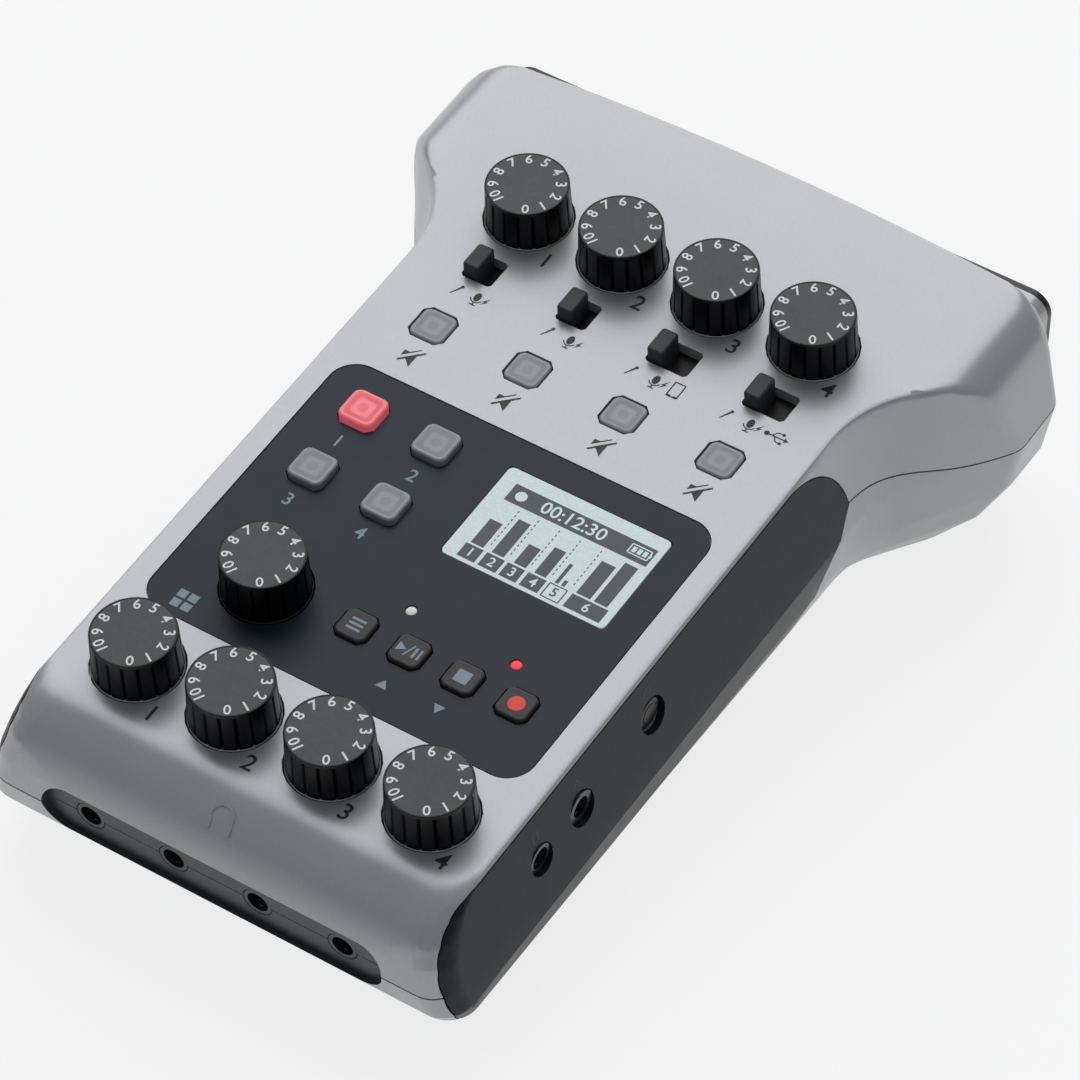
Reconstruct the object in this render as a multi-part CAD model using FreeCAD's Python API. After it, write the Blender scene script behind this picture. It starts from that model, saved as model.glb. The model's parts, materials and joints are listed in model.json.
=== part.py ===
import FreeCAD, Part
import math
import os

# Podcast recorder: a wedge-shaped desktop recorder with a flared head.
# Millimetres, +Z up, +Y to the rear, standing on its feet.
# Controls and housing are drawn on the deck: x to the right, y to the rear from the
# front knob row, z square to the deck, and then leaned over by stand().

os.makedirs("parts", exist_ok=True)
V = FreeCAD.Vector

# Stance
DECK_SLOPE = 0.1            # fall of the deck towards the front, per unit of length
BASE_DEPTH = 28.1           # deck to underside at the front knob row
FOOT_PROUD = 0.8            # feet below the underside

# Housing outline
BODY_HALF = 37.9            # half width of the body at the deck
BODY_FLARE = 0.223          # widening of the body per unit of depth
HEAD_ROUND = 9.0            # roundover of the head wings
HEAD_FLAT_HALF = 44.8       # half width of the flat deck on the head
HEAD_SLANT = 13.0           # degrees, slant of the head sides below the roundover
GIRTH = 17.5                # depth at which the housing is widest
LIP_RADIUS = 1.0            # rounding between deck and sides
NOSE_TOP_Y = -8.0           # where the deck starts to roll over the nose
NOSE_TIP_Y = -20.4          # front of the nose
NOSE_DEPTH = 13.0           # depth of the front of the nose
NOSE_LOW_REACH = 14.0       # length of the roll under the nose
REAR_Y = 133.0              # rear edge of the deck on the centre line
REAR_BOW = 530.0            # plan radius of the rear edge
SHOULDER_X = 47.0           # a point that the shoulder line passes through
SHOULDER_Y = 106.6
SHOULDER_DRIFT = 0.28       # shift of that point to the front per unit of depth
SHOULDER_ANGLE = 45.0       # degrees from the X axis at the deck
SHOULDER_TWIST = 0.686      # more degrees per unit of depth
SHOULDER_RADIUS = 20.0      # hollow between body and shoulder
VERTEX_RADIUS = 5.0         # rounding between shoulder and head side
FRONT_CORNER = 5.0
REAR_CORNER = 3.5
BODY_UNDER = 9.5            # inward roll of the body sides below the girth
HEAD_UNDER = 18.0
SHOULDER_UNDER = 8.0
REAR_UNDER = 2.0
UPPER_LEVELS = (0.0, 0.3, 1.0, 2.6, 5.0, 8.5, 13.0, 17.5)
LOWER_LEVELS = (0.4, 0.7, 0.9, 1.0)
HOLLOW_LEVELS = (0.0, 1.0, 4.5, 9.0, 13.0, 17.5)
HOLLOW_LOWER = (0.55, 0.85, 1.0)

# Walls and parting seam
SIDE_WALL = 2.4
DECK_WALL = 2.0
FLOOR_WALL = 1.8
POST_ROOT = 0.4             # how far posts sink into the walls that carry them
SEAM_GAP = 0.3
SEAM_FRONT = 13.0           # depth of the seam along the body
SEAM_REAR = 17.5            # depth of the seam round the head
SEAM_RAMP_START = 92.0
SEAM_RAMP_END = 115.0

# Side panels
SKIN = 1.2
SKIN_GAP = 0.2
SKIN_MARGIN = 1.7           # silver rim between the panel and the nose outline
SKIN_TOP = 0.8              # depth of the panel's upper edge
SKIN_ROUND_Y = 77.2         # centre of the round upper rear corner
SKIN_ROUND_DEPTH = 13.2
SKIN_TAIL_Y = 84.9          # a point on the curve of its rear edge
SKIN_TAIL_DEPTH = 18.5
SKIN_REAR_LOW = 72.0

# Knobs
KNOB_PITCH = 17.2
MIC_ROW_Y = 103.9
PHONES_ROW_Y = 0.0
PAD_KNOB_X = -18.2
PAD_KNOB_Y = 21.8
KNOB_HEIGHT = 7.5
KNOB_TOP_RADIUS = 6.3
KNOB_SKIRT_RADIUS = 6.55
KNOB_FLANGE = 6.98          # radius of the thin ring at the foot of a knob
KNOB_GAP = 0.27             # between that ring and its hole in the deck
KNOB_SUNK = 1.3             # ring below the deck
FLUTES = 18
FLUTE_DEPTH = 0.45          # at the skirt
FLUTE_LAND = 0.72           # share of the rim between two grooves
SHAFT_RADIUS = 2.0
SHAFT_CLEARANCE = 0.06
SHAFT_SEAT = 3.0            # how deep a shaft sits in its potentiometer

# Circuit boards and what stands on them
BOARD_TOP = 12.6            # depth of the main board's upper face
BOARD = 1.6
BOARD_ROOM = 1.8            # between the board's edge and the side walls
BOARD_FRONT = -5.0
BOARD_REAR = 111.0
POT_WIDTH = 9.5
POT_FRONT = 4.8
POT_REAR = 3.6
POT_HEIGHT = 7.6
TACT_WIDTH = 4.0
TACT_HEIGHT = 3.1
TACT_PLUNGER = 0.9
TACT_POST = 2.0
PUSH_SLACK = 0.1            # between a plunger and the end of a button's travel

# Buttons
MUTE_PITCH = 17.2
MUTE_Y = 77.3
MUTE_SIZE = 6.0
MUTE_PROUD = 0.15
PAD_SIZE = 6.2
PAD_PROUD = 1.1
PAD_LEFT = -25.1
PAD_RIGHT = -11.9
PAD_REAR_Y = 57.4
PAD_FRONT_Y = 43.9
KEY_SIZE = 5.4
KEY_PROUD = 0.5
KEY_FIRST_X = -2.6
KEY_PITCH = 9.35
KEY_Y = 22.5
BUTTON_GAP = 0.3
BUTTON_CORNER = 1.0
BUTTON_TRAVEL = 0.8
FLANGE = 0.8                # how far a button's flange reaches under its opening
FLANGE_THICK = 0.6
FLANGE_GAP = 0.2
STEM = 2.0
RIM_CHAMFER = 0.4

# Source switches
SLOT_LEFT = (-28.3, -11.1, 5.2, 22.4)
SLOT_STOPS = (2, 2, 3, 3)   # positions of each switch
SLOT_FRONT = 88.3
SLOT_DEPTH_Y = 5.6
SWITCH_STEP = 2.0
SWITCH_CAP = 2.9
SWITCH_GAP = 0.3
SWITCH_PROUD = 2.6
SWITCH_RIM = 0.4            # bevel round the cap's top
SHUTTER_THICK = 0.6
SHUTTER_SIDE = 0.8          # shutter beyond the cap, to front and rear
SWITCH_BODY_TOP = 8.0
SWITCH_STEM = 1.6
SWITCH_PIN_SUNK = 1.5       # how deep the pin sits in the switch body
SWITCH_CASE_END = 2.0       # switch body beyond the cap's travel
SWITCH_CASE_HALF = 2.4

# Control panel and display
PANEL_HALF = 33.6
PANEL_FRONT = 10.2
PANEL_REAR = 65.3
PANEL_CORNER = 4.5
PANEL_THICK = 1.1
PANEL_SUNK = 0.1
PANEL_GAP = 0.2
PANEL_LEDGE = 1.6
WINDOW_LEFT = -0.3
WINDOW_RIGHT = 28.4
WINDOW_FRONT = 40.9
WINDOW_REAR = 60.2
WINDOW_GAP = 0.1
WINDOW_CORNER = 0.4
DISPLAY_MARGIN = 1.0
DISPLAY_THICK = 3.6
DISPLAY_LEG = 2.4
LIGHT_RADIUS = 0.9
LIGHT_GAP = 0.05
LIGHTS = ((2.5, 29.3), (21.2, 28.9))

# Headphone jacks in the nose
PHONES_PITCH = 14.8
PHONES_DEPTH = 13.0
PHONES_RECESS_Y = -18.8
PHONES_RECESS_HALF = 25.5   # to the centres of the recess's round ends
PHONES_RECESS_RADIUS = 4.5
PHONES_BACKING = 1.6
PHONES_COLLAR = 2.45
PHONES_BODY = 6.0
PHONES_BODY_HEIGHT = 5.2
PHONES_BODY_REAR = -5.3
PHONES_BOARD_END = 0.8      # small board beyond the outer jacks
PHONES_BOARD_FRONT = 1.6    # from the recess's backing to that board
JACK_BORE = 1.8
JACK_FIT = 0.12
JACK_BLIND = 1.0            # wall behind the bore
COLLAR_SUNK = 0.1           # collars below the floor of their recess

# Side sockets and buttons
LINE_JACK_Y = 17.3
LINE_JACK_DEPTH = 8.7
LINE_COLLAR = 2.8
LINE_BODY = 5.6
PHONE_JACK_Y = 6.6
PHONE_JACK_DEPTH = 8.8
PHONE_COLLAR = 2.5
PHONE_BODY = 5.0
SIDE_JACK_LENGTH = 14.6
SIDE_JACK_SEAT = 0.5        # from the inner wall to the jack's case
SIDE_COLLAR_SUNK = 0.3
POWER_Y = 36.5
POWER_DEPTH = 8.0
POWER_RADIUS = 2.7
POWER_SUNK = 0.6
POWER_TRAVEL = 0.8
POWER_FLANGE = 1.0
POWER_SEAT = 0.6            # from the inner wall to the button's flange
POWER_REACH = 8.4           # from the button's face to its switch's plunger
USB_Y = 18.0
USB_WIDTH = 9.0
USB_HEIGHT = 3.3
USB_WALL = 0.35
USB_LENGTH = 7.4
USB_TONGUE = 0.7
USB_TONGUE_WIDTH = 6.6
USB_SUNK = 0.6              # socket's face within the side surface
CARD_Y = 67.4
CARD_WIDTH = 14.0
CARD_HEIGHT = 1.9
CARD_LENGTH = 15.0
CARD_SLOT = 11.2
CARD_SLOT_HEIGHT = 0.9
CARD_SUNK = 0.8
PORT_BACK = 1.0             # wall behind the room in a socket
PORT_GAP = 0.3
HOLD_Y = 36.0
HOLD_DEPTH = 8.2
HOLD_LENGTH = 5.0
HOLD_HEIGHT = 2.4
HOLD_TRAVEL = 2.0
HOLD_PROUD = 0.5
HOLD_BODY = 4.4
HOLD_SEAT = 0.8             # from the inner wall to the slide's shutter
HOLD_COVER = 0.6            # shutter beyond the ends of the travel
HOLD_COVER_SIDE = 0.9
HOLD_PIN = 0.8              # half width of the slide's pin
HOLD_PIN_LENGTH = 3.0
HOLD_BODY_HALF = 5.0
HOLD_BODY_RISE = 2.2        # switch body above the slide's axis
HOLD_BODY_GAP = 1.0         # from the shutter's outer face to the switch body

# Rear panel and microphone sockets, level with the floor
XLR_PITCH = 24.5
XLR_RISE = 0.751            # height of the sockets' axes, per unit of base depth
XLR_RADIUS = 10.7
XLR_FIT = 0.1
XLR_FLUSH = 0.2             # the sockets' faces below the panel's
XLR_RING = 9.8
XLR_INSERT = 7.9
XLR_DEPTH = 14.0
XLR_LENGTH = 22.0
XLR_INSERT_SUNK = 0.8
XLR_PIN_CIRCLE = 4.7
XLR_TAIL = 1.6
XLR_TAIL_LENGTH = 3.0
XLR_PIN_ANGLES = (30.0, 150.0, 270.0)
XLR_Z = FOOT_PROUD + BASE_DEPTH * XLR_RISE
REAR_PANEL_REACH = 3.7      # rear panel behind the rear edge of the deck
REAR_PANEL_HALF = 49.3
REAR_PANEL_HEIGHT = 29.0
REAR_PANEL_CORNER = 3.6
REAR_PANEL_STEP = 1.2       # its rim beyond the opening in the housing
REAR_PANEL_GAP = 0.15

# Battery compartment, level with the floor
CELL_RADIUS = 7.25
CELL_LENGTH = 49.5
CELL_NUB_RADIUS = 2.75
CELL_NUB = 1.0
CELL_PITCH = 14.9
CELL_GAP = 0.3
CELL_Y = 6.0
TRAY_WALL = 1.1
CONTACT_THICK = 0.5
DOOR_THICK = 1.8
DOOR_GAP = 0.3
HINGE_RADIUS = 0.6
HINGE_CLEARANCE = 0.06
HINGE_REACH = 2.0
DOOR_GRIP = 0.6             # depth of the grip grooves
GRIP_COUNT = 4
GRIP_HALF = 8.0
GRIP_WIDTH = 0.8
GRIP_PITCH = 1.8
GRIP_REAR = 3.0             # last groove from the door's edge
CONTACT_MARGIN = 2.0        # contact plates within the cells' radius

# Feet and screws
FOOT_HALF = 6.0             # half length of a foot, across the object
FOOT_DEEP = 5.0
FOOT_CORNER = 1.2
FOOT_GAP = 0.1
FOOT_SUNK = 0.7
FOOT_FRONT = (22.0, -52.0)
FOOT_REAR = (28.0, 64.5)
SCREW_SPOTS = ((33.6, -8.0), (36.5, 105.0))
REST_SPOTS = ((30.5, 30.0), (30.5, 82.0))
REST_POST = 4.0
SCREW_RADIUS = 1.2
SCREW_HEAD = 2.3
SCREW_HEAD_HEIGHT = 1.5
SCREW_SEAT = 4.7            # height of the screw seats above the underside
SCREW_BITE = 6.0
SCREW_CLEARANCE = 0.15
SCREW_SPARE = 0.5           # hole beyond the tip
LOW_BOSS = 3.4              # half width of the square bosses
TOP_BOSS = 2.6

# Sides of the round forms that need no true circle
FEW_SIDES = 12
SOME_SIDES = 16
MORE_SIDES = 24

LEAN = math.atan(DECK_SLOPE)
SIN = math.sin(LEAN)
COS = math.cos(LEAN)


def box(x0, x1, y0, y1, z0, z1):
    return Part.makeBox(x1 - x0, y1 - y0, z1 - z0, V(x0, y0, z0))


def rod(radius, start, end):
    axis = V(*end) - V(*start)
    return Part.makeCylinder(radius, axis.Length, V(*start), axis)


def prism(radius, start, end, sides):
    """Bar with flat sides that just fits inside a round hole of this radius."""
    axis = V(*end) - V(*start)
    turn = FreeCAD.Rotation(V(0, 0, 1), axis)
    ring = []
    for n in range(sides):
        angle = 2 * math.pi * n / sides
        ring.append(V(*start) + turn.multVec(V(radius * math.cos(angle), radius * math.sin(angle), 0)))
    return Part.Face(Part.makePolygon(ring + ring[:1])).extrude(axis)


def bore(radius, start, end, sides):
    """Cutter with flat sides that clears a round bar of this radius."""
    return prism(radius / math.cos(math.pi / sides), start, end, sides)


def slab(x0, x1, y0, y1, z0, z1, corner):
    """Upright block with rounded vertical corners."""
    block = box(x0, x1, y0, y1, z0, z1)
    upright = [e for e in block.Edges if abs(e.tangentAt(e.FirstParameter).z) > 0.5]
    return block.makeFillet(corner, upright)


def cut_block(x0, x1, y0, y1, z0, z1, corner):
    """Upright block whose vertical corners are cut off."""
    ring = [V(x0 + corner, y0, z0), V(x1 - corner, y0, z0), V(x1, y0 + corner, z0), V(x1, y1 - corner, z0),
            V(x1 - corner, y1, z0), V(x0 + corner, y1, z0), V(x0, y1 - corner, z0), V(x0, y0 + corner, z0)]
    return Part.Face(Part.makePolygon(ring + ring[:1])).extrude(V(0, 0, z1 - z0))


def square_rod(half, x, y, z0, z1):
    return box(x - half, x + half, y - half, y + half, z0, z1)


def joined(shapes):
    first = shapes[0]
    rest = list(shapes[1:])
    return first.fuse(rest).removeSplitter() if rest else first


def mirrored(shape):
    return shape.mirror(V(0, 0, 0), V(1, 0, 0))


# Housing laws: how each outline changes with depth below the deck

def lip(depth):
    if depth >= LIP_RADIUS:
        return 0.0
    rise = LIP_RADIUS - depth
    return LIP_RADIUS - math.sqrt(LIP_RADIUS ** 2 - rise ** 2)


def roll(share):
    return 1.0 - math.sqrt(max(0.0, 1.0 - share ** 2))


def head_half(depth, side, top):
    slant = math.radians(HEAD_SLANT)
    across = HEAD_ROUND - side
    upright = HEAD_ROUND - top
    rise = HEAD_ROUND - depth
    if rise > upright * math.sin(slant):
        return HEAD_FLAT_HALF + across * math.sqrt(max(0.0, 1.0 - (rise / upright) ** 2))
    tangent = HEAD_ROUND - upright * math.sin(slant)
    return HEAD_FLAT_HALF + across * math.cos(slant) + (depth - tangent) * math.tan(slant)


def nose_front(depth, side, top):
    if depth < NOSE_DEPTH:
        share = (NOSE_DEPTH - depth) / (NOSE_DEPTH - top)
        reach = NOSE_TOP_Y - NOSE_TIP_Y - side
        return NOSE_TOP_Y - reach * math.sqrt(max(0.0, 1.0 - share ** 2))
    share = (depth - NOSE_DEPTH) / (BASE_DEPTH - NOSE_DEPTH)
    reach = NOSE_LOW_REACH - side
    return NOSE_TIP_Y + NOSE_LOW_REACH - reach * math.sqrt(1.0 - share ** 2)


def arc(a, b, c):
    return Part.Arc(V(*a, 0), V(*b, 0), V(*c, 0)).toShape()


def line(a, b):
    return Part.LineSegment(V(*a, 0), V(*b, 0)).toShape()


def plan_outline(body, head, front, rear, ridge, angle, side, plain):
    """Closed outline at one level: nose, body side, hollow shoulder, head side, bowed rear.

    The plain one has straight cuts within the same outline, for faces that nobody sees.
    """
    corner = FRONT_CORNER - side
    hollow = SHOULDER_RADIUS + side
    vertex = VERTEX_RADIUS - side
    back = REAR_CORNER - side
    bend = math.radians(90.0 - angle)
    run = (math.sin(bend), math.cos(bend))
    slope = run[1] / run[0]
    half = math.tan(bend / 2)
    root_y = ridge[1] - (ridge[0] - body) * slope
    tip_y = ridge[1] + (head - ridge[0]) * slope
    diagonal = math.sqrt(0.5)
    mid = bend / 2
    side_a = (body, front + corner)
    side_b = (body, root_y - hollow * half)
    hollow_mid = (body + hollow * (1 - math.cos(mid)), side_b[1] + hollow * math.sin(mid))
    line_a = (body + hollow * half * run[0], root_y + hollow * half * run[1])
    line_b = (head - vertex * half * run[0], tip_y - vertex * half * run[1])
    head_a = (head, tip_y + vertex * half)
    vertex_mid = (head - vertex * (1 - math.cos(mid)), head_a[1] - vertex * math.sin(mid))
    rear_side = rear - (REAR_BOW - math.sqrt(REAR_BOW ** 2 - (head - back) ** 2))
    head_b = (head, rear_side - back)
    rear_a = (head - back, rear_side)
    corner_mid = (body - corner * (1 - diagonal), front + corner * (1 - diagonal))
    back_mid = (head - back * (1 - diagonal), rear_side - back * (1 - diagonal))
    front_a = (body - corner, front)

    def flip(point):
        return (-point[0], point[1])

    if plain:
        side_y = (body, root_y)
        points = [front_a, side_a, side_y, line_b, head_a, head_b, rear_a]
        points += [flip(point) for point in reversed(points)]
        ring = [V(x, y, 0) for x, y in points]
        return Part.makePolygon(ring + ring[:1])
    right = [
        arc(front_a, corner_mid, side_a),
        line(side_a, side_b),
        arc(side_b, hollow_mid, line_a),
        line(line_a, line_b),
        arc(line_b, vertex_mid, head_a),
        line(head_a, head_b),
        arc(head_b, back_mid, rear_a),
    ]
    left = [
        arc(flip(rear_a), flip(back_mid), flip(head_b)),
        line(flip(head_b), flip(head_a)),
        arc(flip(head_a), flip(vertex_mid), flip(line_b)),
        line(flip(line_b), flip(line_a)),
        arc(flip(line_a), flip(hollow_mid), flip(side_b)),
        line(flip(side_b), flip(side_a)),
        arc(flip(side_a), flip(corner_mid), flip(front_a)),
    ]
    rear_arc = arc(rear_a, (0, rear), flip(rear_a))
    return Part.Wire([line(flip(front_a), front_a)] + right + [rear_arc] + left)


def upper_outline(depth, side, top, plain):
    shrink = side + (lip(depth) if top == 0 else 0.0)
    angle = SHOULDER_ANGLE + SHOULDER_TWIST * depth
    turn = math.radians(angle)
    ridge = (SHOULDER_X - shrink * math.sin(turn),
             SHOULDER_Y - SHOULDER_DRIFT * depth + shrink * math.cos(turn))
    wire = plan_outline(
        BODY_HALF + BODY_FLARE * depth - shrink,
        head_half(depth, side, top),
        nose_front(depth, side, top),
        REAR_Y - DECK_SLOPE * depth - shrink,
        ridge, angle, side, plain)
    wire.Placement = FreeCAD.Placement(V(0, 0, -depth), FreeCAD.Rotation())
    return wire


def lower_outline(share, side, floor, plain):
    """Outline on a plane that leans from the girth to the level underside."""
    lean = math.atan(share * DECK_SLOPE)
    stretch = 1.0 / math.cos(lean)
    depth = GIRTH + share * (BASE_DEPTH - floor - GIRTH)
    under = roll(share)
    angle = SHOULDER_ANGLE + SHOULDER_TWIST * GIRTH
    turn = math.radians(angle)
    inward = side + (SHOULDER_UNDER - side) * under
    ridge = (SHOULDER_X - inward * math.sin(turn),
             (SHOULDER_Y - SHOULDER_DRIFT * GIRTH + inward * math.cos(turn)) * stretch)
    start = (GIRTH - NOSE_DEPTH) / (BASE_DEPTH - NOSE_DEPTH)
    along = start + (1.0 - start) * share
    low_y = NOSE_TIP_Y + NOSE_LOW_REACH
    front = low_y - (NOSE_LOW_REACH - side) * math.sqrt(max(0.0, 1.0 - along ** 2))
    rear_depth = depth + share * DECK_SLOPE * REAR_Y
    rear = REAR_Y - DECK_SLOPE * rear_depth - side - REAR_UNDER * under
    wire = plan_outline(
        BODY_HALF + BODY_FLARE * GIRTH - side - (BODY_UNDER - side) * under,
        head_half(GIRTH, side, side) - (HEAD_UNDER - side) * under,
        front * stretch, rear * stretch, ridge, angle, side, plain)
    turned = FreeCAD.Rotation(V(1, 0, 0), -math.degrees(lean))
    wire.Placement = FreeCAD.Placement(V(0, 0, -depth), turned)
    return wire


def housing_body(side, top, floor):
    """Solid housing form, drawn in by a side, a deck and a floor thickness."""
    depths = [top + (GIRTH - top) * level / GIRTH for level in UPPER_LEVELS]
    wires = [upper_outline(depth, side, top, False) for depth in depths]
    wires += [lower_outline(share, side, floor, False) for share in LOWER_LEVELS]
    return Part.makeLoft(wires, True, True)


def hollow_body(side, top, floor):
    """Plain form that stays within the housing by a side, a deck and a floor thickness."""
    depths = [top + (GIRTH - top) * level / GIRTH for level in HOLLOW_LEVELS]
    wires = [upper_outline(depth, side, top, True) for depth in depths]
    wires += [lower_outline(share, side, floor, True) for share in HOLLOW_LOWER]
    return Part.makeLoft(wires, True, True)


NOSE_REACH = min(nose_front(d, 0, 0) * COS + d * SIN for d in UPPER_LEVELS)
REAR_FACE = REAR_Y * COS + REAR_PANEL_REACH
SHIFT_Y = -(NOSE_REACH + REAR_FACE) / 2
SHIFT_Z = FOOT_PROUD + BASE_DEPTH * COS
STANCE = FreeCAD.Placement(V(0, SHIFT_Y, SHIFT_Z), FreeCAD.Rotation(V(1, 0, 0), math.degrees(LEAN)))


def stand(shape):
    """Leans a shape drawn on the deck into its place above the floor."""
    moved = shape.copy()
    moved.Placement = STANCE.multiply(moved.Placement)
    return moved


def spot(x, y, z):
    """Place above the floor of a point given on the deck."""
    return (x, y * COS - z * SIN + SHIFT_Y, y * SIN + z * COS + SHIFT_Z)


def save(name, shape):
    solids = shape.Solids
    good = shape.isValid() and all(s.Volume > 0 for s in solids)
    print(name, "solids", len(solids), "volume", round(shape.Volume, 2), "valid", good)
    shape.exportStep("parts/" + name + ".step")


def side_prism(points, x0, x1):
    """Block with an outline given as lines and arcs in y and z."""
    edges = []
    for step in points:
        ends = [V(x0, y, z) for y, z in step]
        if len(ends) == 2:
            edges.append(Part.LineSegment(ends[0], ends[1]).toShape())
        else:
            edges.append(Part.Arc(ends[0], ends[1], ends[2]).toShape())
    return Part.Face(Part.Wire(edges)).extrude(V(x1 - x0, 0, 0))


def seam_cutter(shift, far):
    """Everything from the parting seam to a far depth."""
    start = -SEAM_FRONT + shift
    end = -SEAM_REAR + shift
    drop = start - end
    length = SEAM_RAMP_END - SEAM_RAMP_START
    radius = (length ** 2 + drop ** 2) / (4 * drop)
    half = math.asin(length / 2 / radius) / 2
    first = (SEAM_RAMP_START + radius * math.sin(half), start - radius * (1 - math.cos(half)))
    middle = ((SEAM_RAMP_START + SEAM_RAMP_END) / 2, (start + end) / 2)
    second = (SEAM_RAMP_END - radius * math.sin(half), end + radius * (1 - math.cos(half)))
    front_y = NOSE_TIP_Y * 2
    rear_y = REAR_Y * 1.5
    return side_prism([
        [(front_y, start), (SEAM_RAMP_START, start)],
        [(SEAM_RAMP_START, start), first, middle],
        [middle, second, (SEAM_RAMP_END, end)],
        [(SEAM_RAMP_END, end), (rear_y, end)],
        [(rear_y, end), (rear_y, far)],
        [(rear_y, far), (front_y, far)],
        [(front_y, far), (front_y, start)],
    ], -2 * BODY_HALF, 2 * BODY_HALF)


def skin_region(inset):
    """Side view outline of a side panel, as a block on the right of the body."""
    margin = SKIN_MARGIN + inset
    top = -(SKIN_TOP + inset)
    knee = math.sqrt(0.5)
    up_reach = NOSE_TOP_Y - NOSE_TIP_Y - margin
    up_rise = NOSE_DEPTH + top
    low_y = NOSE_TIP_Y + NOSE_LOW_REACH
    low_reach = NOSE_LOW_REACH - margin
    floor_z = -(BASE_DEPTH + DECK_SLOPE * low_y - margin)
    low_drop = -floor_z - NOSE_DEPTH
    tip = (NOSE_TIP_Y + margin, -NOSE_DEPTH)
    tail = SKIN_REAR_LOW - inset
    tail_z = floor_z - DECK_SLOPE * (tail - low_y)
    round_z = -SKIN_ROUND_DEPTH
    radius = SKIN_ROUND_DEPTH - SKIN_TOP - inset
    rear_tip = (SKIN_ROUND_Y + radius, round_z)
    rear_knee = (SKIN_ROUND_Y + radius * knee, round_z + radius * knee)
    return side_prism([
        [(SKIN_ROUND_Y, top), (NOSE_TOP_Y, top)],
        [(NOSE_TOP_Y, top), (NOSE_TOP_Y - up_reach * knee, -NOSE_DEPTH + up_rise * knee), tip],
        [tip, (low_y - low_reach * knee, -NOSE_DEPTH - low_drop * knee), (low_y, floor_z)],
        [(low_y, floor_z), (tail, tail_z)],
        [(tail, tail_z), (SKIN_TAIL_Y - inset, -SKIN_TAIL_DEPTH), rear_tip],
        [rear_tip, rear_knee, (SKIN_ROUND_Y, top)],
    ], BODY_HALF - BODY_UNDER, 2 * BODY_HALF)


def standing_pairs(spots):
    """Places above the floor, right and left, of points given on the underside."""
    places = []
    for x, y in spots:
        right = spot(x, y, -BASE_DEPTH)
        places.append((right[0], right[1]))
        places.append((-right[0], right[1]))
    return places


def screw_points():
    return standing_pairs(SCREW_SPOTS)


def knob_places():
    offsets = [(n - 1.5) * KNOB_PITCH for n in range(4)]
    places = [("mic_knob_%d" % (n + 1), x, MIC_ROW_Y) for n, x in enumerate(offsets)]
    places += [("phones_knob_%d" % (n + 1), x, PHONES_ROW_Y) for n, x in enumerate(offsets)]
    places.append(("pad_knob", PAD_KNOB_X, PAD_KNOB_Y))
    return places


def mute_places():
    return [("mute_button_%d" % (n + 1), (n - 1.5) * MUTE_PITCH, MUTE_Y) for n in range(4)]


def pad_places():
    spots = [(PAD_LEFT, PAD_REAR_Y), (PAD_RIGHT, PAD_REAR_Y),
             (PAD_LEFT, PAD_FRONT_Y), (PAD_RIGHT, PAD_FRONT_Y)]
    return [("pad_button_%d" % (n + 1), x, y) for n, (x, y) in enumerate(spots)]


def key_places():
    names = ("menu_button", "play_button", "stop_button", "record_button")
    return [(name, KEY_FIRST_X + n * KEY_PITCH, KEY_Y) for n, name in enumerate(names)]


def phones_places():
    return [("phones_jack_%d" % (n + 1), (n - 1.5) * PHONES_PITCH) for n in range(4)]


def xlr_places():
    return [("xlr_socket_%d" % (n + 1), (n - 1.5) * XLR_PITCH) for n in range(4)]


def square_hole(x, y, size, top, bottom):
    half = size / 2 + BUTTON_GAP
    return cut_block(x - half, x + half, y - half, y + half, bottom, top, BUTTON_CORNER + BUTTON_GAP / 2)


def switch_travel(stops):
    return (stops - 1) * SWITCH_STEP


def slot_length(stops):
    return SWITCH_CAP + switch_travel(stops) + 2 * SWITCH_GAP


ABOVE = 20.0                # cutters reach this far beyond a face
CELL_Z = FOOT_PROUD + DOOR_THICK + CELL_GAP + CELL_RADIUS
TRAY_HALF = CELL_LENGTH / 2 + CELL_NUB + 2 * CONTACT_THICK
TRAY_FRONT = CELL_Y - CELL_PITCH / 2 - CELL_RADIUS - CELL_GAP
TRAY_REAR = CELL_Y + CELL_PITCH / 2 + CELL_RADIUS + CELL_GAP
TRAY_TOP = CELL_Z + CELL_RADIUS + CELL_GAP
HINGE_Y = TRAY_FRONT + DOOR_GAP + DOOR_THICK / 2
HINGE_Z = FOOT_PROUD + DOOR_THICK / 2
XLR_BACK = REAR_FACE + SHIFT_Y - XLR_LENGTH
REAR_PANEL_Y = REAR_FACE + SHIFT_Y
REAR_WALL_Y = REAR_Y * COS + SHIFT_Y


def pill(x_half, radius, y0, y1, depth):
    """Bar with round ends, lying across the nose."""
    middle = box(-x_half, x_half, y0, y1, -depth - radius, -depth + radius)
    ends = [rod(radius, (s * x_half, y0, -depth), (s * x_half, y1, -depth)) for s in (-1, 1)]
    return joined([middle] + ends)


def side_rod(radius, y, depth, x0, x1):
    return rod(radius, (x0, y, -depth), (x1, y, -depth))


def side_bore(radius, y, depth, x0, x1):
    return bore(radius, (x0, y, -depth), (x1, y, -depth), SOME_SIDES)


def side_face(depth):
    """Half width of the body at a depth."""
    return BODY_HALF + BODY_FLARE * depth


def port_slot(round_bar, y, width, height, depth, x0, x1):
    """Bar with round ends across a side wall, long way along the body."""
    radius = height / 2
    middle = box(x0, x1, y - width / 2 + radius, y + width / 2 - radius, -depth - radius, -depth + radius)
    ends = []
    for middle_y in (y - width / 2 + radius, y + width / 2 - radius):
        ends.append(round_bar(radius, (x0, middle_y, -depth), (x1, middle_y, -depth), SOME_SIDES))
    return joined([middle] + ends)


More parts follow.
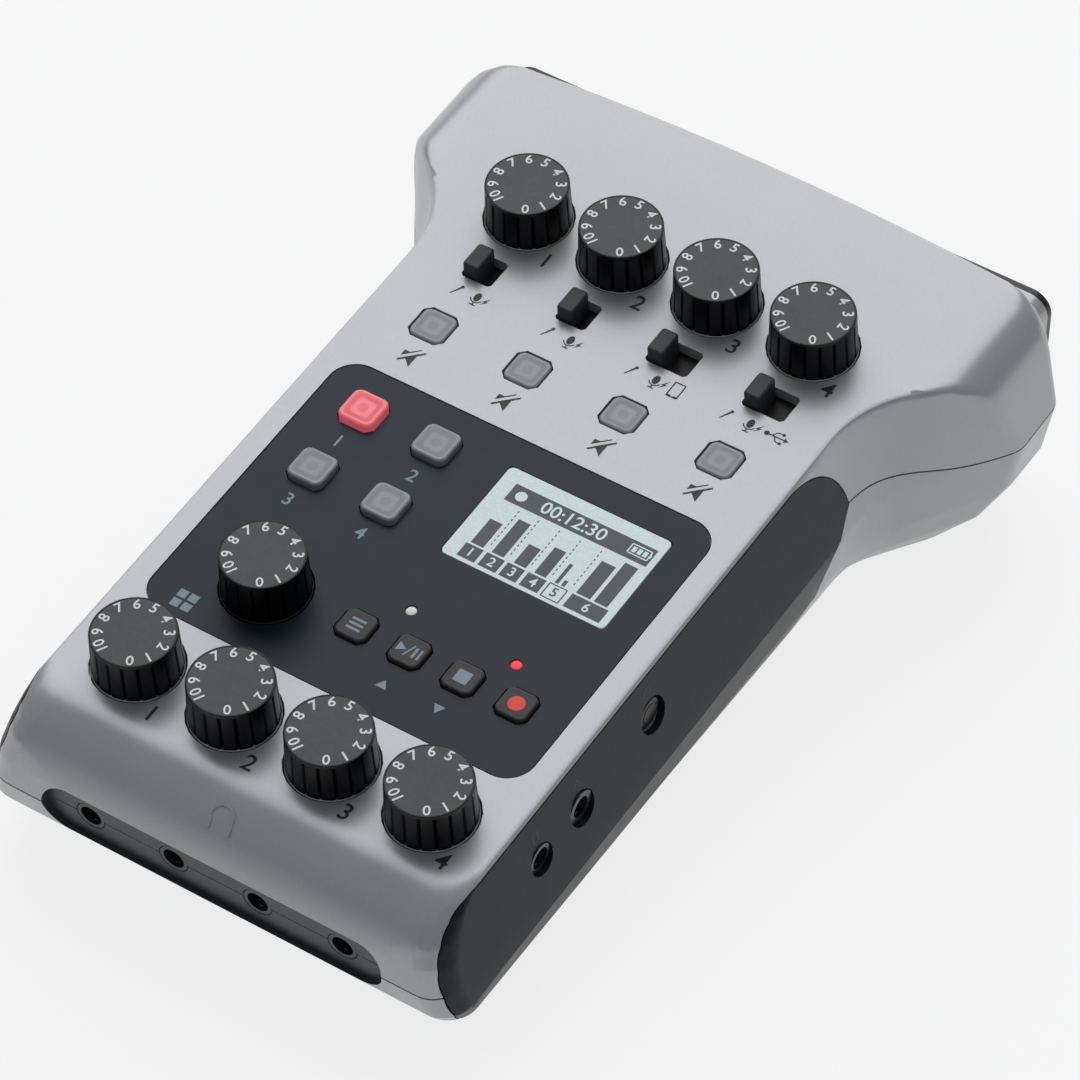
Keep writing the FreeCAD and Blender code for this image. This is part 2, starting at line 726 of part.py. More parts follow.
def side_holes():
    """Holes for the sockets and buttons in both sides, through wall and panel."""
    far = 2 * BODY_HALF
    near = BODY_HALF - SIDE_WALL
    usb_depth = BOARD_TOP - USB_HEIGHT / 2
    card_depth = BOARD_TOP - CARD_HEIGHT / 2
    hold_room = HOLD_LENGTH + HOLD_TRAVEL + 2 * PORT_GAP
    hold_high = HOLD_HEIGHT + 2 * PORT_GAP
    return [
        side_bore(LINE_COLLAR + JACK_FIT, LINE_JACK_Y, LINE_JACK_DEPTH, near, far),
        side_bore(PHONE_COLLAR + JACK_FIT, PHONE_JACK_Y, PHONE_JACK_DEPTH, near, far),
        side_bore(POWER_RADIUS + BUTTON_GAP, POWER_Y, POWER_DEPTH, near, far),
        port_slot(bore, USB_Y, USB_WIDTH + 2 * PORT_GAP, USB_HEIGHT + 2 * PORT_GAP, usb_depth, -far, -near),
        box(-far, -near, CARD_Y - CARD_WIDTH / 2 - PORT_GAP, CARD_Y + CARD_WIDTH / 2 + PORT_GAP,
            -card_depth - CARD_HEIGHT / 2 - PORT_GAP, -card_depth + CARD_HEIGHT / 2 + PORT_GAP),
        box(-far, -near, HOLD_Y - hold_room / 2, HOLD_Y + hold_room / 2,
            -HOLD_DEPTH - hold_high / 2, -HOLD_DEPTH + hold_high / 2),
    ]


def knob_hole(x, y):
    return bore(KNOB_FLANGE + KNOB_GAP, (x, y, -ABOVE / 2), (x, y, ABOVE), MORE_SIDES)


def rear_plug(inset, y0, y1):
    """Block with cut corners, level with the floor, that fills the opening in the rear wall."""
    half = REAR_PANEL_HALF - REAR_PANEL_STEP - inset
    high = REAR_PANEL_HEIGHT / 2 - REAR_PANEL_STEP - inset
    block, along = rear_block(half, high, y0, y1)
    return block.makeChamfer(REAR_PANEL_CORNER, along)


def rear_block(half, high, y0, y1):
    """Block over the sockets, and its edges from front to rear."""
    block = box(-half, half, y0, y1, XLR_Z - high, XLR_Z + high)
    return block, [e for e in block.Edges if abs(e.tangentAt(e.FirstParameter).y) > 0.5]


def shells():
    """Top and bottom shell, parted at the seam, with all seats and holes."""
    outer = housing_body(0, 0, 0)
    hollow = hollow_body(SIDE_WALL, DECK_WALL, FLOOR_WALL)
    skin = outer.cut(hollow_body(SKIN, 0, 0)).common(skin_region(0))
    hull = outer.cut(hollow)
    backing = pill(PHONES_RECESS_HALF, PHONES_RECESS_RADIUS + PHONES_BACKING,
                   PHONES_RECESS_Y, PHONES_RECESS_Y + PHONES_BACKING, PHONES_DEPTH)
    hull = hull.fuse(backing.common(outer))
    cuts = [skin, mirrored(skin)]
    cuts.append(pill(PHONES_RECESS_HALF, PHONES_RECESS_RADIUS, NOSE_TIP_Y - 1, PHONES_RECESS_Y, PHONES_DEPTH))
    for _, x in phones_places():
        cuts.append(bore(PHONES_COLLAR + JACK_FIT, (x, NOSE_TIP_Y, -PHONES_DEPTH),
                         (x, PHONES_RECESS_Y + 2 * PHONES_BACKING, -PHONES_DEPTH), SOME_SIDES))
    cuts += side_holes()
    hull = hull.cut(cuts)
    top = hull.cut(seam_cutter(SEAM_GAP / 2, -4 * GIRTH))
    bottom = hull.cut(seam_cutter(-SEAM_GAP / 2, GIRTH))

    deck_cuts = []
    for _, x, y in knob_places():
        deck_cuts.append(knob_hole(x, y))
    for _, x, y in mute_places():
        deck_cuts.append(square_hole(x, y, MUTE_SIZE, ABOVE, -ABOVE / 2))
    for left, stops in zip(SLOT_LEFT, SLOT_STOPS):
        deck_cuts.append(cut_block(left, left + slot_length(stops), SLOT_FRONT, SLOT_FRONT + SLOT_DEPTH_Y,
                                   -ABOVE / 2, ABOVE, BUTTON_CORNER / 2))
    seat = PANEL_SUNK + PANEL_THICK
    deck_cuts.append(slab(-PANEL_HALF - PANEL_GAP, PANEL_HALF + PANEL_GAP, PANEL_FRONT - PANEL_GAP,
                          PANEL_REAR + PANEL_GAP, -seat, ABOVE, PANEL_CORNER + PANEL_GAP))
    deck_cuts.append(cut_block(-PANEL_HALF + PANEL_LEDGE, PANEL_HALF - PANEL_LEDGE,
                               PANEL_FRONT + PANEL_LEDGE, PANEL_REAR - PANEL_LEDGE,
                               -ABOVE / 2, ABOVE, PANEL_CORNER - PANEL_LEDGE))

    inside = stand(hollow_body(SIDE_WALL - POST_ROOT, DECK_WALL - POST_ROOT, FLOOR_WALL - POST_ROOT))
    high = 3 * BASE_DEPTH
    above_board = stand(box(-high, high, NOSE_TIP_Y * 2, REAR_Y * 2, -BOARD_TOP, GIRTH))
    below_board = stand(box(-high, high, NOSE_TIP_Y * 2, REAR_Y * 2, -4 * GIRTH, -BOARD_TOP - BOARD))
    top = stand(top).cut([stand(c) for c in deck_cuts])
    bottom = stand(bottom)

    opening = rear_plug(-REAR_PANEL_GAP, REAR_WALL_Y - 3 * SIDE_WALL, REAR_WALL_Y + 3 * SIDE_WALL)
    top = top.cut(opening)
    seat_z = FOOT_PROUD + SCREW_SEAT
    low_posts = []
    top_posts = []
    low_holes = []
    top_holes = []
    for x, y in screw_points():
        below = bottom_boss_limit(y, below_board)
        low_posts.append(square_rod(LOW_BOSS, x, y, 0, high).common(inside).common(below))
        top_posts.append(square_rod(TOP_BOSS, x, y, 0, high).common(inside).common(above_board))
        low_holes.append(screw_bore(x, y, high))
        low_holes.append(bore(SCREW_HEAD + SCREW_CLEARANCE, (x, y, 0), (x, y, seat_z), SOME_SIDES))
        top_holes.append(screw_bore(x, y, screw_tip(y) + SCREW_SPARE))
    for x, y in standing_pairs(REST_SPOTS):
        low_posts.append(square_rod(REST_POST / 2, x, y, 0, high).common(inside).common(below_board))
    top = joined([top] + top_posts).cut(top_holes)

    tray = box(-TRAY_HALF - TRAY_WALL, TRAY_HALF + TRAY_WALL, TRAY_FRONT - TRAY_WALL,
               TRAY_REAR + TRAY_WALL, FOOT_PROUD + FLOOR_WALL / 2, TRAY_TOP + TRAY_WALL)
    for side in (-1, 1):
        x = side * PHONES_PITCH
        y = (PHONES_BODY_REAR + PHONES_RECESS_Y) / 2
        post = square_rod(REST_POST / 2, x, y, -2 * GIRTH, phones_board_bottom())
        low_posts.append(stand(post).common(inside))
    bottom = joined([bottom, tray] + low_posts)
    tray_room = box(-TRAY_HALF, TRAY_HALF, TRAY_FRONT, TRAY_REAR, 0, TRAY_TOP)
    pivot = bore(HINGE_RADIUS + HINGE_CLEARANCE, (-TRAY_HALF - HINGE_REACH - DOOR_GAP, HINGE_Y, HINGE_Z),
                 (TRAY_HALF + HINGE_REACH + DOOR_GAP, HINGE_Y, HINGE_Z), FEW_SIDES)
    feet = [foot_block(x, y, FOOT_GAP) for x, y in foot_places()]
    bottom = bottom.cut([opening, tray_room, pivot] + low_holes + feet)
    return outer, top, bottom


def screw_bore(x, y, z1):
    return bore(SCREW_RADIUS + SCREW_CLEARANCE, (x, y, 0), (x, y, z1), FEW_SIDES)


def before_board(y):
    """Whether a place above the floor lies in front of the main board."""
    return y < spot(0, BOARD_FRONT, -BOARD_TOP)[1] + LOW_BOSS


def bottom_boss_limit(y, below_board):
    """Bosses under the board stop at it; those in front of it meet the top shell's bosses."""
    if before_board(y):
        return stand(box(-ABOVE * 3, ABOVE * 3, NOSE_TIP_Y * 2, REAR_Y, -4 * GIRTH, -BOARD_TOP))
    return below_board


def screw_tip(y):
    """Height of a screw's end: a fixed bite above the board or the front spacer."""
    deck_y = (y - SHIFT_Y - BOARD_TOP * SIN) / COS
    return spot(0, deck_y, -BOARD_TOP)[2] + SCREW_BITE


def foot_places():
    return [(s * x, y) for x, y in (FOOT_FRONT, FOOT_REAR) for s in (-1, 1)]


def foot_block(x, y, gap):
    half = FOOT_HALF + gap
    deep = FOOT_DEEP / 2 + gap
    return cut_block(x - half, x + half, y - deep, y + deep, 0, FOOT_PROUD + FOOT_SUNK, FOOT_CORNER)


def phones_board_bottom():
    return -(PHONES_DEPTH + PHONES_BODY_HEIGHT / 2 + BOARD)


def side_panels(outer):
    skin = outer.cut(hollow_body(SKIN, 0, 0)).common(skin_region(SKIN_GAP))
    right = skin.cut(side_holes())
    left = mirrored(skin).cut(side_holes())
    save("side_panel_right", stand(right))
    save("side_panel_left", stand(left))


def control_panel():
    top = -PANEL_SUNK
    low = top - PANEL_THICK
    plate = slab(-PANEL_HALF, PANEL_HALF, PANEL_FRONT, PANEL_REAR, low, top, PANEL_CORNER)
    cuts = [square_hole(x, y, PAD_SIZE, ABOVE, -ABOVE) for _, x, y in pad_places()]
    cuts += [square_hole(x, y, KEY_SIZE, ABOVE, -ABOVE) for _, x, y in key_places()]
    cuts.append(knob_hole(PAD_KNOB_X, PAD_KNOB_Y))
    cuts += [bore(LIGHT_RADIUS + LIGHT_GAP, (x, y, -ABOVE), (x, y, ABOVE), FEW_SIDES) for x, y in LIGHTS]
    cuts.append(cut_block(WINDOW_LEFT - WINDOW_GAP, WINDOW_RIGHT + WINDOW_GAP, WINDOW_FRONT - WINDOW_GAP,
                          WINDOW_REAR + WINDOW_GAP, -ABOVE, ABOVE, WINDOW_CORNER))
    save("control_panel", stand(plate.cut(cuts)))


def display():
    top = -PANEL_SUNK
    low = top - PANEL_THICK
    lens = cut_block(WINDOW_LEFT, WINDOW_RIGHT, WINDOW_FRONT, WINDOW_REAR, low, top, WINDOW_CORNER)
    save("display_window", stand(lens))
    x0 = WINDOW_LEFT - DISPLAY_MARGIN
    x1 = WINDOW_RIGHT + DISPLAY_MARGIN
    y0 = WINDOW_FRONT - DISPLAY_MARGIN
    y1 = WINDOW_REAR + DISPLAY_MARGIN
    blocks = [box(x0, x1, y0, y1, low - DISPLAY_THICK, low)]
    for x in (x0, x1 - DISPLAY_LEG):
        for y in (y0, y1 - DISPLAY_LEG):
            blocks.append(box(x, x + DISPLAY_LEG, y, y + DISPLAY_LEG, -BOARD_TOP, low - DISPLAY_THICK))
    save("display_module", stand(joined(blocks)))
    pipes = [prism(LIGHT_RADIUS, (x, y, -BOARD_TOP), (x, y, top), FEW_SIDES) for x, y in LIGHTS]
    save("indicator_lights", stand(Part.makeCompound(pipes)))


def knob_rim(radius, z):
    """Corners of a knob at one height: lands with a groove between each two."""
    ring = []
    step = 2 * math.pi / FLUTES
    groove = 1 - FLUTE_DEPTH / KNOB_SKIRT_RADIUS
    for n in range(FLUTES):
        for share, reach in ((-FLUTE_LAND / 2, 1.0), (FLUTE_LAND / 2, 1.0), (0.5, groove)):
            turn = (n + share) * step
            ring.append(V(radius * reach * math.cos(turn), radius * reach * math.sin(turn), z))
    return ring


def flat_sided(low, high):
    """Solid between two rings of corners, where one is the other scaled, so each side is flat."""
    faces = [Part.Face(Part.makePolygon(ring + ring[:1])) for ring in (low, high)]
    for n in range(len(low)):
        after = (n + 1) % len(low)
        corners = [low[n], low[after], high[after], high[n], low[n]]
        faces.append(Part.Face(Part.makePolygon(corners)))
    return Part.Solid(Part.Shell(faces))


def fluted_knob():
    """Knob with its foot ring and turning shaft, at the origin of the deck."""
    skirt = flat_sided(knob_rim(KNOB_SKIRT_RADIUS, 0), knob_rim(KNOB_TOP_RADIUS, KNOB_HEIGHT))
    if skirt.Volume < 0:
        skirt.reverse()
    foot = prism(KNOB_FLANGE, (0, 0, -KNOB_SUNK), (0, 0, 0), MORE_SIDES)
    shaft_end = -(BOARD_TOP - POT_HEIGHT) - SHAFT_SEAT
    shaft = prism(SHAFT_RADIUS, (0, 0, shaft_end), (0, 0, -KNOB_SUNK), FEW_SIDES)
    return joined([skirt, foot, shaft])


def knobs():
    knob = fluted_knob()
    for name, x, y in knob_places():
        copy = knob.copy()
        copy.translate(V(x, y, 0))
        save(name, stand(copy))


def potentiometers():
    solids = []
    case_top = -(BOARD_TOP - POT_HEIGHT)
    floor = case_top - SHAFT_SEAT - PUSH_SLACK
    for _, x, y in knob_places():
        case = box(x - POT_WIDTH / 2, x + POT_WIDTH / 2, y - POT_FRONT, y + POT_REAR, -BOARD_TOP, case_top)
        solids.append(case.cut(bore(SHAFT_RADIUS + SHAFT_CLEARANCE, (x, y, floor), (x, y, ABOVE), FEW_SIDES)))
    save("potentiometers", stand(Part.makeCompound(solids)))


def tact_top():
    return -(BOARD_TOP - TACT_HEIGHT - TACT_PLUNGER)


def push_button(x, y, size, proud, under):
    """Cap in its opening, flange under it and a stem down to its tact switch."""
    half = size / 2
    cap = cut_block(x - half, x + half, y - half, y + half, under - FLANGE_GAP, proud, BUTTON_CORNER)
    rim = [e for e in cap.Edges if e.BoundBox.ZMin > proud - 0.01]
    cap = cap.makeChamfer(RIM_CHAMFER, rim)
    flange_top = under - FLANGE_GAP
    flange = square_rod(half + FLANGE, x, y, flange_top - FLANGE_THICK, flange_top)
    low = tact_top() + BUTTON_TRAVEL + PUSH_SLACK
    return joined([cap, flange, square_rod(STEM / 2, x, y, low, flange_top)])


def buttons():
    under_panel = -(PANEL_SUNK + PANEL_THICK)
    for name, x, y in mute_places():
        save(name, stand(push_button(x, y, MUTE_SIZE, MUTE_PROUD, -DECK_WALL)))
    for name, x, y in pad_places():
        save(name, stand(push_button(x, y, PAD_SIZE, PAD_PROUD, under_panel)))
    for name, x, y in key_places():
        save(name, stand(push_button(x, y, KEY_SIZE, KEY_PROUD, under_panel)))


def power_tact_face():
    return side_face(POWER_DEPTH) - POWER_SUNK - POWER_REACH


def power_button():
    outside = side_face(POWER_DEPTH) - POWER_SUNK
    wall_inside = side_face(POWER_DEPTH - POWER_RADIUS - POWER_FLANGE) - SIDE_WALL - POWER_SEAT
    cap = prism(POWER_RADIUS, (wall_inside, POWER_Y, -POWER_DEPTH),
                (outside, POWER_Y, -POWER_DEPTH), SOME_SIDES)
    flange = prism(POWER_RADIUS + POWER_FLANGE, (wall_inside - FLANGE_THICK, POWER_Y, -POWER_DEPTH),
                   (wall_inside, POWER_Y, -POWER_DEPTH), FEW_SIDES)
    stem = box(power_tact_face() + POWER_TRAVEL + PUSH_SLACK, wall_inside - FLANGE_THICK,
               POWER_Y - STEM / 2, POWER_Y + STEM / 2, -POWER_DEPTH - STEM / 2, -POWER_DEPTH + STEM / 2)
    save("power_button", stand(joined([cap, flange, stem])))


def tact_switches():
    solids = []
    half = TACT_WIDTH / 2
    for _, x, y in mute_places() + pad_places() + key_places():
        case = box(x - half, x + half, y - half, y + half, -BOARD_TOP, -BOARD_TOP + TACT_HEIGHT)
        pin = square_rod(TACT_POST / 2, x, y, -BOARD_TOP + TACT_HEIGHT, tact_top())
        solids.append(joined([case, pin]))
    face = power_tact_face() - TACT_PLUNGER
    case = box(face - TACT_HEIGHT, face, POWER_Y - half, POWER_Y + half, -BOARD_TOP, -POWER_DEPTH + half)
    pin = box(face, power_tact_face(), POWER_Y - TACT_POST / 2, POWER_Y + TACT_POST / 2,
              -POWER_DEPTH - TACT_POST / 2, -POWER_DEPTH + TACT_POST / 2)
    solids.append(joined([case, pin]))
    save("tact_switches", stand(Part.makeCompound(solids)))


def source_switches():
    bodies = []
    middle = SLOT_FRONT + SLOT_DEPTH_Y / 2
    for n, (left, stops) in enumerate(zip(SLOT_LEFT, SLOT_STOPS)):
        x = left + SWITCH_GAP + SWITCH_CAP / 2
        travel = switch_travel(stops)
        half = SWITCH_CAP / 2
        deep = SLOT_DEPTH_Y / 2 - SWITCH_GAP
        cap = cut_block(x - half, x + half, middle - deep, middle + deep, -DECK_WALL - FLANGE_GAP,
                        SWITCH_PROUD, BUTTON_CORNER / 2)
        rim = [e for e in cap.Edges if e.BoundBox.ZMin > SWITCH_PROUD - 0.01]
        cap = cap.makeChamfer(SWITCH_RIM, rim)
        cover = half + travel + SWITCH_GAP
        shutter = box(x - cover, x + cover, middle - deep - SHUTTER_SIDE, middle + deep + SHUTTER_SIDE,
                      -DECK_WALL - FLANGE_GAP - SHUTTER_THICK, -DECK_WALL - FLANGE_GAP)
        pin_end = -SWITCH_BODY_TOP - SWITCH_PIN_SUNK
        pin = box(x - SWITCH_STEM / 2, x + SWITCH_STEM / 2, middle - SWITCH_STEM / 2,
                  middle + SWITCH_STEM / 2, pin_end, -DECK_WALL - FLANGE_GAP)
        save("source_switch_%d" % (n + 1), stand(joined([cap, shutter, pin])))
        case = box(x - half - SWITCH_CASE_END, x + travel + half + SWITCH_CASE_END,
                   middle - SWITCH_CASE_HALF, middle + SWITCH_CASE_HALF, -BOARD_TOP, -SWITCH_BODY_TOP)
        room = box(x - SWITCH_STEM / 2 - SWITCH_GAP, x + travel + SWITCH_STEM / 2 + SWITCH_GAP,
                   middle - SWITCH_STEM / 2 - SWITCH_GAP, middle + SWITCH_STEM / 2 + SWITCH_GAP,
                   pin_end - SWITCH_GAP, 0)
        bodies.append(case.cut(room))
    bodies.append(hold_slide())
    save("switch_bodies", stand(Part.makeCompound(bodies)))


def hold_slide():
    """Sliding hold switch in the left side. Returns its fixed switch body."""
    y = HOLD_Y - HOLD_TRAVEL / 2
    half = HOLD_LENGTH / 2
    high = HOLD_HEIGHT / 2
    skin_x = side_face(HOLD_DEPTH)
    inner = skin_x - SIDE_WALL - HOLD_SEAT
    cap = box(-skin_x - HOLD_PROUD, -inner, y - half, y + half, -HOLD_DEPTH - high, -HOLD_DEPTH + high)
    cover = half + HOLD_TRAVEL + HOLD_COVER
    shutter = box(-inner, -inner + SHUTTER_THICK, y - cover, y + cover,
                  -HOLD_DEPTH - high - HOLD_COVER_SIDE, -HOLD_DEPTH + high + HOLD_COVER_SIDE)
    pin_x = -inner + HOLD_PIN_LENGTH
    pin = box(-inner, pin_x, y - HOLD_PIN, y + HOLD_PIN, -HOLD_DEPTH - HOLD_PIN, -HOLD_DEPTH + HOLD_PIN)
    save("hold_slide", stand(joined([cap, shutter, pin])))
    case_x = -inner + HOLD_BODY_GAP
    case = box(case_x, case_x + HOLD_BODY, HOLD_Y - HOLD_BODY_HALF, HOLD_Y + HOLD_BODY_HALF,
               -BOARD_TOP, -HOLD_DEPTH + HOLD_BODY_RISE)
    slack = HOLD_PIN + SWITCH_GAP
    room = box(-inner, pin_x + SWITCH_GAP, y - slack, y + HOLD_TRAVEL + slack,
               -HOLD_DEPTH - slack, -HOLD_DEPTH + slack)
    return case.cut(room)


def boards():
    half = side_face(BOARD_TOP) - SIDE_WALL - BOARD_ROOM
    plate = box(-half, half, BOARD_FRONT, BOARD_REAR, -BOARD_TOP - BOARD, -BOARD_TOP)
    holes = []
    for x, y in screw_points():
        if before_board(y):
            holes.append(square_rod(LOW_BOSS + PORT_GAP, x, y, 0, 3 * BASE_DEPTH))
        else:
            holes.append(screw_bore(x, y, 3 * BASE_DEPTH))
    save("main_board", stand(plate).cut(holes))
    low = phones_board_bottom()
    half = 1.5 * PHONES_PITCH + PHONES_BODY / 2 + PHONES_BOARD_END
    front = PHONES_RECESS_Y + PHONES_BACKING + PHONES_BOARD_FRONT
    save("phones_board", stand(box(-half, half, front, PHONES_BODY_REAR, low, low + BOARD)))


def phones_jacks():
    for name, x in phones_places():
        half = PHONES_BODY / 2
        high = PHONES_BODY_HEIGHT / 2
        case_front = PHONES_RECESS_Y + PHONES_BACKING + JACK_FIT
        case = box(x - half, x + half, case_front, PHONES_BODY_REAR,
                   -PHONES_DEPTH - high, -PHONES_DEPTH + high)
        collar = prism(PHONES_COLLAR, (x, PHONES_RECESS_Y + COLLAR_SUNK, -PHONES_DEPTH),
                       (x, case_front, -PHONES_DEPTH), SOME_SIDES)
        hole = rod(JACK_BORE, (x, NOSE_TIP_Y, -PHONES_DEPTH),
                   (x, PHONES_BODY_REAR - JACK_BLIND, -PHONES_DEPTH))
        save(name, stand(joined([case, collar]).cut(hole)))


def side_jack(name, y, depth, collar_radius, body):
    inner = side_face(depth - collar_radius) - SIDE_WALL - SIDE_JACK_SEAT
    outside = side_face(depth)
    end = outside - SIDE_JACK_LENGTH
    case = box(end, inner, y - body / 2, y + body / 2, -BOARD_TOP, -depth + body / 2)
    collar = prism(collar_radius, (inner, y, -depth), (outside - SIDE_COLLAR_SUNK, y, -depth), SOME_SIDES)
    hole = side_rod(JACK_BORE, y, depth, end + JACK_BLIND, outside)
    save(name, stand(joined([case, collar]).cut(hole)))


def ports():
    side_jack("line_jack", LINE_JACK_Y, LINE_JACK_DEPTH, LINE_COLLAR, LINE_BODY)
    side_jack("phone_jack", PHONE_JACK_Y, PHONE_JACK_DEPTH, PHONE_COLLAR, PHONE_BODY)
    depth = BOARD_TOP - USB_HEIGHT / 2
    face = -side_face(depth) + USB_SUNK
    shell = port_slot(prism, USB_Y, USB_WIDTH, USB_HEIGHT, depth, face, face + USB_LENGTH)
    room = port_slot(prism, USB_Y, USB_WIDTH - 2 * USB_WALL, USB_HEIGHT - 2 * USB_WALL, depth,
                     face - PORT_BACK, face + USB_LENGTH - PORT_BACK)
    tongue = box(face + PORT_BACK, face + USB_LENGTH - PORT_BACK / 2, USB_Y - USB_TONGUE_WIDTH / 2,
                 USB_Y + USB_TONGUE_WIDTH / 2, -depth - USB_TONGUE / 2, -depth + USB_TONGUE / 2)
    save("usb_socket", stand(joined([shell.cut(room), tongue])))
    card_depth = BOARD_TOP - CARD_HEIGHT / 2
    face = -side_face(card_depth) + CARD_SUNK
    case = box(face, face + CARD_LENGTH, CARD_Y - CARD_WIDTH / 2, CARD_Y + CARD_WIDTH / 2,
               -BOARD_TOP, -BOARD_TOP + CARD_HEIGHT)
    slot = box(face - PORT_BACK, face + CARD_LENGTH - PORT_BACK,
               CARD_Y - CARD_SLOT / 2, CARD_Y + CARD_SLOT / 2,
               -card_depth - CARD_SLOT_HEIGHT / 2, -card_depth + CARD_SLOT_HEIGHT / 2)
    save("card_slot", stand(case.cut(slot)))


def rear_panel(outer):
    """Panel with a plug in the opening and a rim that follows the bowed rear of the housing."""
    behind = stand(outer)
    behind.translate(V(0, REAR_PANEL_GAP, 0))
    block, along = rear_block(REAR_PANEL_HALF, REAR_PANEL_HEIGHT / 2,
                              REAR_WALL_Y - 3 * SIDE_WALL, REAR_PANEL_Y)
    plate = block.makeFillet(REAR_PANEL_CORNER, along)
    plug = rear_plug(0, REAR_WALL_Y - 3 * SIDE_WALL, REAR_WALL_Y)
    panel = joined([plate.cut(behind), plug])
    holes = []
    for _, x in xlr_places():
        holes.append(bore(XLR_RADIUS + XLR_FIT, (x, REAR_WALL_Y - ABOVE, XLR_Z),
                          (x, REAR_WALL_Y + ABOVE, XLR_Z), MORE_SIDES))
    save("rear_panel", panel.cut(holes))


def xlr_sockets():
    tails = []
    face = REAR_PANEL_Y - XLR_FLUSH
    floor = face - XLR_DEPTH
    for name, x in xlr_places():
        case = prism(XLR_RADIUS, (x, XLR_BACK, XLR_Z), (x, face, XLR_Z), MORE_SIDES)
        ring = bore(XLR_RING, (x, floor, XLR_Z), (x, face + 1, XLR_Z), MORE_SIDES)
        core = rod(XLR_INSERT, (x, floor, XLR_Z), (x, face - XLR_INSERT_SUNK, XLR_Z))
        save(name, joined([case.cut(ring), core]))
        for angle in XLR_PIN_ANGLES:
            turn = math.radians(angle)
            px = x + XLR_PIN_CIRCLE * math.cos(turn)
            pz = XLR_Z + XLR_PIN_CIRCLE * math.sin(turn)
            tails.append(box(px - XLR_TAIL / 2, px + XLR_TAIL / 2, XLR_BACK - XLR_TAIL_LENGTH, XLR_BACK,
                             pz - XLR_TAIL / 4, pz + XLR_TAIL / 4))
    save("xlr_contacts", Part.makeCompound(tails))


def batteries():
    cells = []
    plates = []
    reach = CELL_LENGTH / 2
    for side in (-1, 1):
        y = CELL_Y + side * CELL_PITCH / 2
        can = prism(CELL_RADIUS, (-reach, y, CELL_Z), (reach, y, CELL_Z), MORE_SIDES)
        nub = prism(CELL_NUB_RADIUS, (side * reach, y, CELL_Z),
                    (side * (reach + CELL_NUB), y, CELL_Z), FEW_SIDES)
        cells.append(joined([can, nub]))
    half = CELL_RADIUS - CONTACT_MARGIN
    for side in (-1, 1):
        for y in (CELL_Y - CELL_PITCH / 2, CELL_Y + CELL_PITCH / 2):
            x0 = side * TRAY_HALF
            x1 = side * (TRAY_HALF - CONTACT_THICK)
            plates.append(box(min(x0, x1), max(x0, x1), y - half, y + half, CELL_Z - half, CELL_Z + half))
    save("batteries", Part.makeCompound(cells))
    save("battery_contacts", Part.makeCompound(plates))


def battery_door():
    half = TRAY_HALF - DOOR_GAP
    top = FOOT_PROUD + DOOR_THICK
    rear = TRAY_REAR - DOOR_GAP
    plate = box(-half, half, HINGE_Y, rear, FOOT_PROUD, top)
    bead = rod(DOOR_THICK / 2, (-half, HINGE_Y, HINGE_Z), (half, HINGE_Y, HINGE_Z))
    pin = prism(HINGE_RADIUS, (-TRAY_HALF - HINGE_REACH, HINGE_Y, HINGE_Z),
                (TRAY_HALF + HINGE_REACH, HINGE_Y, HINGE_Z), FEW_SIDES)
    door = joined([plate, bead, pin])
    grips = []
    for n in range(GRIP_COUNT):
        y = rear - GRIP_REAR - n * GRIP_PITCH
        grips.append(box(-GRIP_HALF, GRIP_HALF, y - GRIP_WIDTH / 2, y + GRIP_WIDTH / 2,
                         0, FOOT_PROUD + DOOR_GRIP))
    save("battery_door", door.cut(grips))


def feet_and_screws():
    feet = [foot_block(x, y, 0.0) for x, y in foot_places()]
    save("feet", Part.makeCompound(feet))
    screws = []
    seat = FOOT_PROUD + SCREW_SEAT
    for x, y in screw_points():
        head = prism(SCREW_HEAD, (x, y, seat - SCREW_HEAD_HEIGHT), (x, y, seat), SOME_SIDES)
        shank = prism(SCREW_RADIUS, (x, y, seat), (x, y, screw_tip(y)), FEW_SIDES)
        screws.append(joined([head, shank]))
    save("screws", Part.makeCompound(screws))


outer_form, top_shell, bottom_shell = shells()
save("top_shell", top_shell)
save("bottom_shell", bottom_shell)
side_panels(outer_form)
control_panel()
display()
knobs()
potentiometers()
buttons()
power_button()
tact_switches()
source_switches()
boards()
phones_jacks()
ports()
rear_panel(outer_form)
xlr_sockets()
batteries()
battery_door()
feet_and_screws()
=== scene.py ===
# %% [markdown]
# # A desktop podcast recorder
# The CAD frame gives every piece its place. This lesson adds the finish: smooth shells, fluted
# and numbered knobs, frosted keys, a display, printed marks, paint, plastic and studio light.

# %% Load the CAD frame
import bpy
import bmesh
import json
import math
from mathutils import Matrix, Vector


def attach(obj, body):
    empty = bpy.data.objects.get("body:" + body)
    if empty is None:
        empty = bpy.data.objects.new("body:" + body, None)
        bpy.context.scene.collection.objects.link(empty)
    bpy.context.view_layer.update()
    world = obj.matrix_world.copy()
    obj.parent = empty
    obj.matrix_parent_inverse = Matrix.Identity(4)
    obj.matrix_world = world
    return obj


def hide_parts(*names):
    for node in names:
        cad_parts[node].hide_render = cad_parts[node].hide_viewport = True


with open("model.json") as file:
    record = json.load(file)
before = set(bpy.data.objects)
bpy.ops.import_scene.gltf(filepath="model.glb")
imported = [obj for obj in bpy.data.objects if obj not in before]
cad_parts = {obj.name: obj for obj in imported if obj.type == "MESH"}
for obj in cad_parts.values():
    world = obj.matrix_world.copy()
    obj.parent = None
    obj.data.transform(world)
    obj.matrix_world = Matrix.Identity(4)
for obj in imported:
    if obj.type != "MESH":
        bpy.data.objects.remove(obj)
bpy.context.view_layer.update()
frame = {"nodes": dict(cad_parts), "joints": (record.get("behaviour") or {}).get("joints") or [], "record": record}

nodes = frame["nodes"]
joints = {joint["child"]: joint for joint in frame["joints"]}
